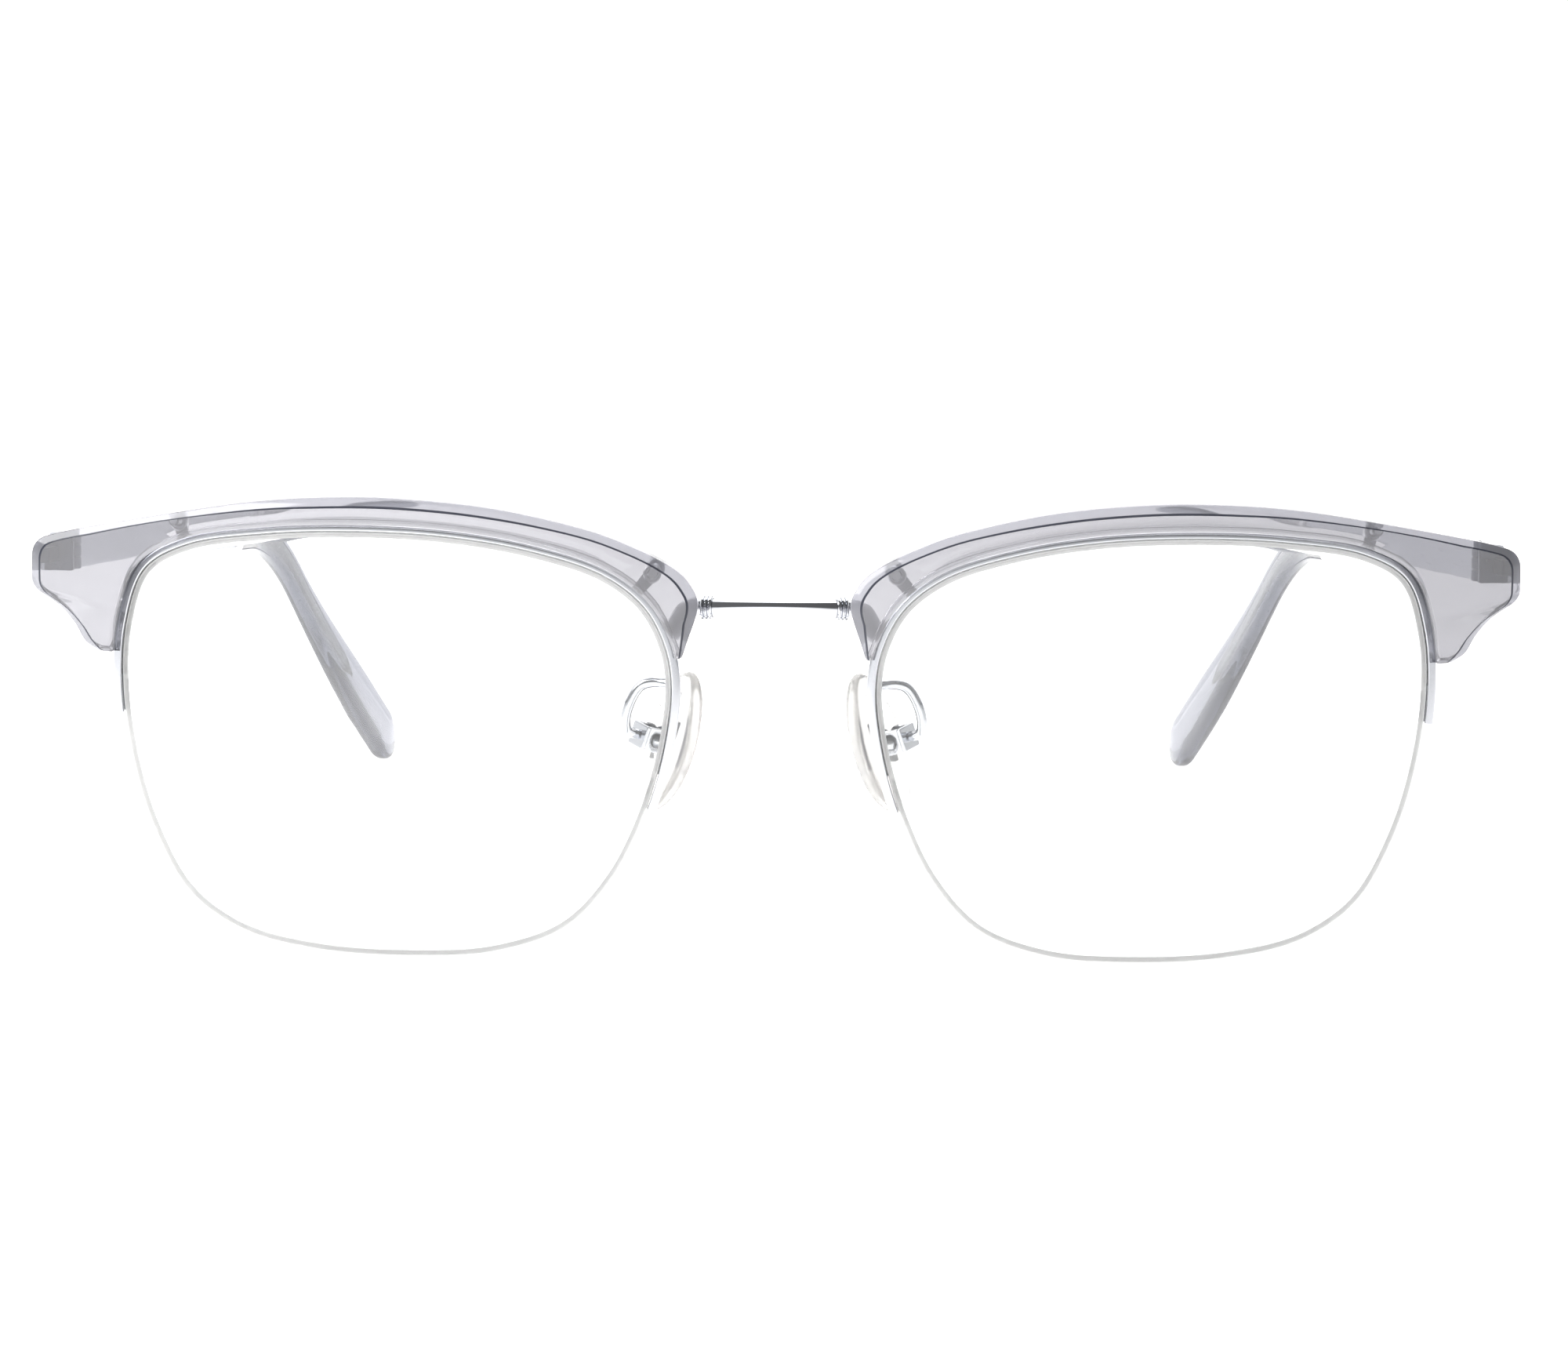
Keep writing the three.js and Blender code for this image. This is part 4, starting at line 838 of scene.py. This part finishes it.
def screw_parts(shank, head, start, seat):
    """A screw along Z: a shank from start up to the seat and a slotted head on top."""
    shank_profile = [(0, start), (shank * 0.8, start), (shank, start + 0.15), (shank, seat + 0.05),
                     (0, seat + 0.05)]
    return [turned(shank_profile, 28), placed(slotted_head(head), np.eye(3), (0, 0, seat))]


for screw_name, seat in seats.items():
    parts = [placed(placed(p, AS_Y, (0, 0, 0)), *seat) for p in screw_parts(0.5, 0.72, -1.8, 0.65)]
    make(f"{screw_name}_brow_screw", f"brow_screw_{screw_name}", parts, [turned_steel])

# %% [markdown]
# ## Bridge and collars
# A bar with a level top and an arched underside. Its ends flatten into feet that are soldered behind
# the rims. A curve with a round bevel couldn't change its section, so a few key sections are given, and
# a smooth curve through each of their points fills in the rest.

# %% Sizes of the bridge
BRIDGE_Z, BAR, WAIST, FORWARD = 33.0, 1.7, 1.3, 0.7
COLLAR_LONG = 1.05
BRIDGE_HALF = NASAL - 2.5 - 0.25 - COLLAR_LONG  # the bar between the collars
BAR_END = BRIDGE_HALF + 1.55
FOOT_HALF = 0.45
FOOT_DEPTH = RIM_BACK + 0.1 + FOOT_HALF
BRIDGE_Y = float(sweep_back(NASAL, BRIDGE_Z)) + FOOT_DEPTH + 0.95
OVAL_SIDES = 28


def bar_height(x):
    """Height of the bar: full at its ends, thinner by a parabola towards the middle."""
    return BAR - (BAR - WAIST) * np.maximum(0, 1 - (x / BRIDGE_HALF) ** 2)


def bar_centre(x):
    """Middle of the bar's section: ahead by a parabola, and raised so that the top stays level."""
    ahead = FORWARD * (1 - (x / BAR_END) ** 2)
    return np.array([x, BRIDGE_Y - ahead, BRIDGE_Z + (BAR - bar_height(x)) / 2])


def oval(centre, across, tall, deep):
    """A ring: centre + across tall sin a + Y deep cos a."""
    a = (np.arange(OVAL_SIDES) + 0.5) * np.pi / (OVAL_SIDES / 2)
    return centre + np.outer(tall * np.sin(a), across) + np.outer(deep * np.cos(a), [0, 1, 0])


# %% Bridge bar
BELOW_BAR = 2.9  # the foot's toe is this far below the bar
toe = beside(place_at_height(BRIDGE_Z - BELOW_BAR, NOSE_SIDE), 0.5, FOOT_DEPTH)
knee = np.array([(BAR_END + toe[0]) / 2, (BRIDGE_Y + toe[1]) / 2, BRIDGE_Z - 0.87])
knee_way = np.array([0.45, 0, 0.9]) / math.hypot(0.45, 0.9)
keys = [oval(toe, np.array([0.85, 0, 0.5]), 0.75, FOOT_HALF), oval(knee, knee_way, 1.3, FOOT_HALF)]
keys += [oval(bar_centre(x), np.array([0, 0, 1]), bar_height(x) / 2, BAR / 2)
         for x in (BAR_END, BRIDGE_HALF, 0.75 * BRIDGE_HALF, 0.5 * BRIDGE_HALF, 0.25 * BRIDGE_HALF)]
other_half = [ring * [-1, 1, 1] for ring in reversed(keys)]
middle = oval(bar_centre(0.0), np.array([0, 0, 1]), WAIST / 2, BAR / 2)
keys = np.array(keys + [middle] + other_half)
bridge_rings = curve_through(keys.reshape(len(keys), -1), 8).reshape(-1, OVAL_SIDES, 3)
bridge_bar = loft(shrink_ends(bridge_rings, 0.2))
on_foot = np.abs([bridge_bar[0][face[0], 0] for face in bridge_bar[1]]) > BAR_END + 0.5
make("bridge_bar", "bridge", [bridge_bar], [plated_metal, silver_solder], sides=("",),
     marks=on_foot.astype(int))

# %% Collars
# Two narrow grooves are turned into each collar, and they are what shows as two thin dark lines.
COLLAR_IN, COLLAR_OUT, GROOVE, BREAK = 0.9, 1.15, 0.16, 0.08
collar_profile = [(COLLAR_IN, 0), (COLLAR_OUT - BREAK, 0), (COLLAR_OUT, BREAK)]
for groove_at in (0.34, 0.71):
    collar_profile += [(COLLAR_OUT, groove_at - 0.1), (COLLAR_OUT - GROOVE, groove_at - 0.04),
                       (COLLAR_OUT - GROOVE, groove_at + 0.04), (COLLAR_OUT, groove_at + 0.1)]
collar_profile += [(COLLAR_OUT, COLLAR_LONG - BREAK), (COLLAR_OUT - BREAK, COLLAR_LONG),
                   (COLLAR_IN, COLLAR_LONG)]
ahead = bar_centre(BAR_END) - bar_centre(BRIDGE_HALF)
ahead /= np.linalg.norm(ahead)
side_way = np.cross([0, 0, 1], ahead)
collar_axes = [side_way, np.cross(ahead, side_way), ahead]
collar = placed(turned(collar_profile, 56, closed=True), collar_axes, bar_centre(BRIDGE_HALF))
make("collar", "bridge_collar", [collar], [plated_metal], sharp=30)

# %% [markdown]
# ## Hinges
# A three-barrel hinge: two barrels on a plate let into the back of the end piece, one on the temple, and
# a screw down through all three. A stud on the plate goes further into the acetate and shows through
# from the front. Barrels are turned parts with a small break at each edge, so that the joints between
# them show as fine lines.

# %% Sizes of the hinge
STANDOFF, KNUCKLE, BARREL, GAP = 2.1, 0.95, 1.1, 0.07
STACK = BARREL * 1.5 + GAP
leaf_turn = math.atan((HINGE[0] - LENS_CENTRE[0]) / BASE_RADIUS + LEAN)


def about_z(angle):
    """Axes turned by an angle about Z."""
    c, s = math.cos(angle), math.sin(angle)
    return [[c, s, 0], [-s, c, 0], [0, 0, 1]]


def barrel(z0, z1, radius=KNUCKLE, e=0.1):
    """A turned barrel from z0 to z1 with edges broken by e."""
    profile = [(0, z0), (radius - e, z0), (radius, z0 + e), (radius, z1 - e), (radius - e, z1), (0, z1)]
    return turned(profile, 36)


print("hinge", round(2 * STACK, 2), "mm tall, turned", round(math.degrees(leaf_turn), 1), "degrees")

# %% Front leaf
PLATE_HALF, PLATE_THICK, STUD_LONG = 1.5, 0.65, 3.7
plate = block((-PLATE_HALF, -STANDOFF - PLATE_THICK, -STACK), (PLATE_HALF, -STANDOFF, STACK), 0.12)
stud = block((-0.1, -STANDOFF - STUD_LONG, -0.8), (1.3, -STANDOFF - 0.5, 0.6), 0.12)
front_leaf = [plate, stud]
for z0, z1 in ((BARREL / 2 + GAP, STACK), (-STACK, -BARREL / 2 - GAP)):
    front_leaf += [barrel(z0, z1), block((-0.7, -STANDOFF - 0.2, z0), (0.7, 0, z1), 0.08)]
is_stud = np.zeros(sum(len(faces) for _, faces in front_leaf), int)
is_stud[len(plate[1]) :][: len(stud[1])] = 1
make("front_leaf", "hinge_front_leaf", [placed(p, about_z(leaf_turn), HINGE) for p in front_leaf],
     [stamped_metal, rough_stud], marks=is_stud)

# %% Pivot screw
hinge_screw = [placed(p, np.eye(3), HINGE) for p in screw_parts(0.48, 0.9, -STACK, STACK + GAP)]
make("pivot_screw", "hinge_screw", hinge_screw, [turned_steel])

# %% Temple leaf
TOE_IN = math.radians(2.1)  # the temples close in towards the ears
LEAF_FACE, LEAF_LONG = KNUCKLE + 0.25, 6.0
temple_leaf = [
    barrel(-BARREL / 2, BARREL / 2),
    block((LEAF_FACE - 1, -0.4, -BARREL / 2), (LEAF_FACE, KNUCKLE + 1, BARREL / 2), 0.08),
    block((LEAF_FACE - 0.45, KNUCKLE + 0.35, -1.45), (LEAF_FACE, LEAF_LONG, 1.25), 0.14),
]
rivet = [(0, 0), (0.42, 0), (0.42, 0.06), (0.3, 0.17), (0, 0.22)]
for y in (3.0, 4.9):
    temple_leaf.append(placed(turned(rivet, 24), AS_MINUS_X, (LEAF_FACE - 0.43, y, -0.1)))
make("temple_leaf", "hinge_temple_leaf", [placed(p, about_z(TOE_IN), HINGE) for p in temple_leaf],
     [stamped_metal], body="temple")

# %% [markdown]
# ## Temples
# A flat metal shaft runs from the hinge to the ear. Inside the acetate tip it goes on as a slimmer core,
# and because the tip is clear, the pointed end of that core can be seen through it. A straight bar bent
# by a Curve modifier would come close, but one centre line that both pieces use keeps the core inside.

# %% The temple's centre line
LONG, BEND_AT, BEND_RADIUS, TIP_INSET, CURL = 143.0, 95.0, 30.0, 9.5, 1.5
SLOPE, DROP = math.radians(2.3), math.radians(41.7)
BEND_LONG = BEND_RADIUS * (DROP - SLOPE)
BEND_START = BEND_AT - BEND_LONG / 2
SHAFT_THICK, SHAFT_TALL, SHAFT_NECK = 1.4, 3.7, 3.2
SHAFT_X = LEAF_FACE + 0.1 + SHAFT_THICK / 2


def temple_axis(s):
    """Centre line at distance s: a slight slope, an arc of 30 mm radius, then straight down, curling in
    by the power 1.5 of the way from the bend to the tip. Gives the points and the slope angle."""
    s = np.asarray(s, float)
    angle = SLOPE + (DROP - SLOPE) * np.clip((s - BEND_START) / BEND_LONG, 0, 1)
    before, after = np.minimum(s, BEND_START), np.maximum(0, s - BEND_START - BEND_LONG)
    y = (before * math.cos(SLOPE) + BEND_RADIUS * (np.sin(angle) - math.sin(SLOPE))
         + after * np.cos(angle))
    z = (before * math.sin(SLOPE) + BEND_RADIUS * (math.cos(SLOPE) - np.cos(angle))
         + after * np.sin(angle))
    curl = np.maximum(0, (s - BEND_START) / (LONG - BEND_START))
    return np.stack([SHAFT_X - TIP_INSET * curl**CURL, y, -z], -1), angle


def temple_rings(s, side, rise):
    """Sections square to the temple: side is across it and rise is up, both stations by corners."""
    centre, angle = temple_axis(s)
    lean = np.stack([0 * angle, np.sin(angle), np.cos(angle)], -1)
    across = side[..., None] * np.array([1, 0, 0])
    return centre[:, None, :] + across + rise[..., None] * lean[:, None, :]


print("temple", LONG, "mm long; its end is at", np.round(temple_axis([LONG])[0][0], 1))

# %% Shaft and core
# The shaft narrows to a neck just before the tip, goes on inside it as the core, and ends in a point.
SLEEVE_LONG = 66.0
SLEEVE_START, CORE_STOP = LONG - SLEEVE_LONG, LONG - 17.0
FULL_UNTIL, CORE_THICK, CORE_TALL, POINT = 8, 1.0, 2.4, 0.6
stops = [0, FULL_UNTIL, SLEEVE_START - 1.2, SLEEVE_START - 0.3, CORE_STOP - 3, CORE_STOP]
places = [np.linspace(start, end, count)[1:]
          for start, end, count in zip(stops[:-1], stops[1:], (9, 40, 5, 70, 10))]
s = np.concatenate([[0.0], *places])
thick = [SHAFT_THICK, SHAFT_THICK, SHAFT_THICK, CORE_THICK, CORE_THICK, POINT]
tall = [SHAFT_TALL, SHAFT_TALL, SHAFT_NECK, CORE_TALL, CORE_TALL, POINT]
thick = np.interp(s, stops, thick)[:, None] / 2
tall = np.interp(s, stops, tall)[:, None] / 2
shaft_rings = temple_rings(s, thick * [1, -1, -1, 1], tall * [1, 1, -1, -1])

# %% The shaft's flat end
# Its first section is cut to lie along the back of the end piece, 0.2 mm behind the hinge plate.
flat_end = shaft_rings[0]
slope_x = math.tan(leaf_turn - TOE_IN)
slope_z = (HINGE[2] - LENS_CENTRE[1]) / BASE_RADIUS
flat_end[:, 1] = 0.2 - STANDOFF + slope_x * flat_end[:, 0] + slope_z * np.abs(flat_end[:, 2])
shaft = placed(loft(soften(shaft_rings, 0.32, 5)), about_z(TOE_IN), HINGE)
make("shaft", "temple_shaft", [shaft], [brushed_metal], body="temple")

# %% Outline of the tip
# From the sleeve it swells into a paddle, by a smooth step, and the paddle ends in a half circle.
SLEEVE_TALL, SLEEVE_THICK, PADDLE_TALL, PADDLE_THICK = 4.4, 2.4, 7.8, 2.8
SWELL_FROM, SWELL_OVER = 0.4, 0.46  # shares of the sleeve's length
round_off = LONG - PADDLE_TALL / 2
quarter_turn = np.linspace(0, np.pi / 2, 16)[1:-1]
s = np.concatenate([np.linspace(SLEEVE_START, round_off, 120),
                    round_off + PADDLE_TALL / 2 * np.sin(quarter_turn)])
t = np.clip(((s - SLEEVE_START) / SLEEVE_LONG - SWELL_FROM) / SWELL_OVER, 0, 1)
swell = t * t * (3 - 2 * t)
past = np.maximum(0, (s - round_off) / (PADDLE_TALL / 2))
rounding = np.sqrt(np.clip(1 - past**2, 0, 1))
tall = (SLEEVE_TALL + (PADDLE_TALL - SLEEVE_TALL) * swell) * np.maximum(rounding, 0.12)
thick = (SLEEVE_THICK + (PADDLE_THICK - SLEEVE_THICK) * swell) * (0.4 + 0.6 * rounding)
print("tip", round(float(tall.max()), 1), "mm tall at the paddle")

# %% Tip
# The section is between an ellipse and a rectangle: cosine and sine are raised to the power 0.62.
FULLNESS, TIP_SIDES, MOUTH, MOUTH_RINGS = 0.62, 40, 0.6, 6
a = (np.arange(TIP_SIDES) + 0.5) * np.pi / (TIP_SIDES / 2)
wide_way, tall_way = (np.sign(v) * np.abs(v) ** FULLNESS for v in (np.cos(a), np.sin(a)))
tip_rings = temple_rings(s, thick[:, None] / 2 * wide_way, tall[:, None] / 2 * tall_way)
tip_rings = shrink_ends(tip_rings, MOUTH, MOUTH_RINGS)
tip = placed(loft(tip_rings), about_z(TOE_IN), HINGE)
tips = make("tip", "temple_tip", [tip], [tip_acetate], body="temple", sharp=60)

# %% Mouth of the tip
# The mouth is where the shaft goes in. Its rounded edge and its flat end are milky.
at_mouth = np.zeros((len(tip_rings) - 1) * TIP_SIDES + 1)
at_mouth[: MOUTH_RINGS * TIP_SIDES] = 1
at_mouth[-1] = 1
mark(tips, "bevel", at_mouth)
print("mouth has", int(at_mouth.sum()), "faces")

# %% [markdown]
# ## Nose pads
# The pad is a moulded cushion of silicone with a metal insert in it. The insert's lug hangs on a screw
# in a little box, and a bent wire holds the box behind the rim. A sphere with a Lattice could give the
# cushion, but rings of its outline, drawn in along a rounded profile, are closer to how it is moulded.

# %% The pad's own axes
PIVOT = np.array([NASAL + 2.1, 7.2, EYE_HEIGHT - 19.8])
splay, pad_lean = math.radians(35), math.radians(18)
long_way = np.array([-math.sin(pad_lean), 0, math.cos(pad_lean)])
face_way = np.array([-math.cos(splay), math.sin(splay), 0.0])
face_way -= long_way * face_way.dot(long_way)
face_way /= np.linalg.norm(face_way)
PAD_AXES = [np.cross(face_way, long_way), face_way, long_way]
assert np.allclose(joint_at["pad_rock_left"] - TO_FRAME, PIVOT, atol=0.01)
print("the pad faces", np.round(face_way, 2))


def on_pad(parts):
    """Parts in the pad's own axes, put where the left pad is."""
    return [placed(p, PAD_AXES, PIVOT) for p in parts]


# %% Pad
# From the side it is a shallow dish: the profile gives a share of its size, and a rise from its back.
EAR, PAD_BACK, PAD_DEEP = 1.25, 1.4, 2.3
PAD_HALF_WIDE, PAD_HALF_TALL, NARROWER = 3.7, 7.0, 0.14  # it is narrower at its top
profile = curve_through([(0.0, 0.0), (0.5, 0.0), (0.84, 0.02), (0.96, 0.13), (1.0, 0.32), (0.97, 0.52),
                         (0.86, 0.74), (0.64, 0.9), (0.34, 0.975), (0.0, 1.0)], 4)
a = np.linspace(0, 2 * np.pi, 72, endpoint=False)
wide = PAD_HALF_WIDE * (1 - NARROWER * np.sin(a)) * np.cos(a)
high = PAD_HALF_TALL * np.sin(a)
share, rise = profile[:, :1], profile[:, 1:]
cushion = np.stack([share * wide, PAD_BACK + PAD_DEEP * rise + 0 * share * wide, share * high], -1)
make("cushion", "nose_pad", on_pad([loft(cushion)]), [clear_silicone], body="pad", sharp=60)

# %% Insert
LUG, EAR_IN, EAR_OUT = 0.75, 0.85, 1.25
insert = [
    block((-1.5, PAD_BACK, -2.2), (1.5, PAD_BACK + 0.55, 2.2), 0.12),
    block((-LUG, 0, -0.9), (LUG, PAD_BACK + 0.2, 0.9), 0.1),
    placed(barrel(-LUG, LUG), AS_X, (0, 0, 0)),
]
make("insert", "pad_insert", on_pad(insert), [stamped_metal], body="pad")

# %% Pad box
BOX_HALF_TALL = 1.12
box = [block((-EAR_OUT, -EAR - 0.5, -BOX_HALF_TALL), (EAR_OUT, -EAR - 0.05, BOX_HALF_TALL), 0.12)]
for x0, x1 in ((EAR_IN, EAR_OUT), (-EAR_OUT, -EAR_IN)):
    box += [placed(barrel(x0, x1, EAR), AS_X, (0, 0, 0)),
            block((x0, -EAR - 0.1, -BOX_HALF_TALL), (x1, 0, BOX_HALF_TALL), 0.08)]
make("screw_box", "pad_box", on_pad(box), [plated_metal])

# %% Pad screw
pad_screw = [placed(p, AS_MINUS_X, (0, 0, 0)) for p in screw_parts(0.42, 0.8, -1.35, 1.35)]
make("rocker_screw", "pad_screw", on_pad(pad_screw), [turned_steel])

# %% Pad arm
# A round wire of 1 mm. Its section turns with the wire: each ring stands square to the path, on two axes
# that are both square to the direction. They never flip, because the path never points along the line
# that the first of them is worked out from.
WIRE_RADIUS, BELOW_FOOT = 0.5, 5.2
root_u = place_at_height(BRIDGE_Z - BELOW_BAR - BELOW_FOOT, NOSE_SIDE)
root = beside(root_u, 0.5, RIM_BACK + 0.1)
seat = PIVOT - face_way * (EAR + 0.6)
wire = curve_through([
    root, root + [0.25, 1.1, 0.15], root + [1.6, 2.5, 0.9], seat + [-0.5, -1.2, 4.8],
    seat + [0.8, -1.1, 2.6], seat + [0.95, -0.9, 0.6], seat,
], 14, power=0.5)
centre, way = along(wire, np.linspace(0, 1, 90))
side_way = np.cross(way, [1.0, 0.2, 0.1])
side_way /= np.linalg.norm(side_way, axis=1, keepdims=True)
other_way = np.cross(way, side_way)
a = np.linspace(0, 2 * np.pi, 20, endpoint=False)[None, :, None]
ring = np.cos(a) * side_way[:, None, :] + np.sin(a) * other_way[:, None, :]
arm = centre[:, None, :] + WIRE_RADIUS * ring
make("arm_wire", "pad_arm", [loft(shrink_ends(arm, 0.15))], [plated_metal], sharp=60)

# %% [markdown]
# ## Size against the CAD model
# The last line prints how far the visual model's box reaches past the CAD model's box, in mm.

# %% Sizes and finish
visual_box = [[float(v) for v in corner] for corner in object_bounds()]
growth = (np.array(visual_box) - np.array(cad_box)) * 1000
print("visual box minus CAD box in mm:", np.round(growth, 2).tolist())
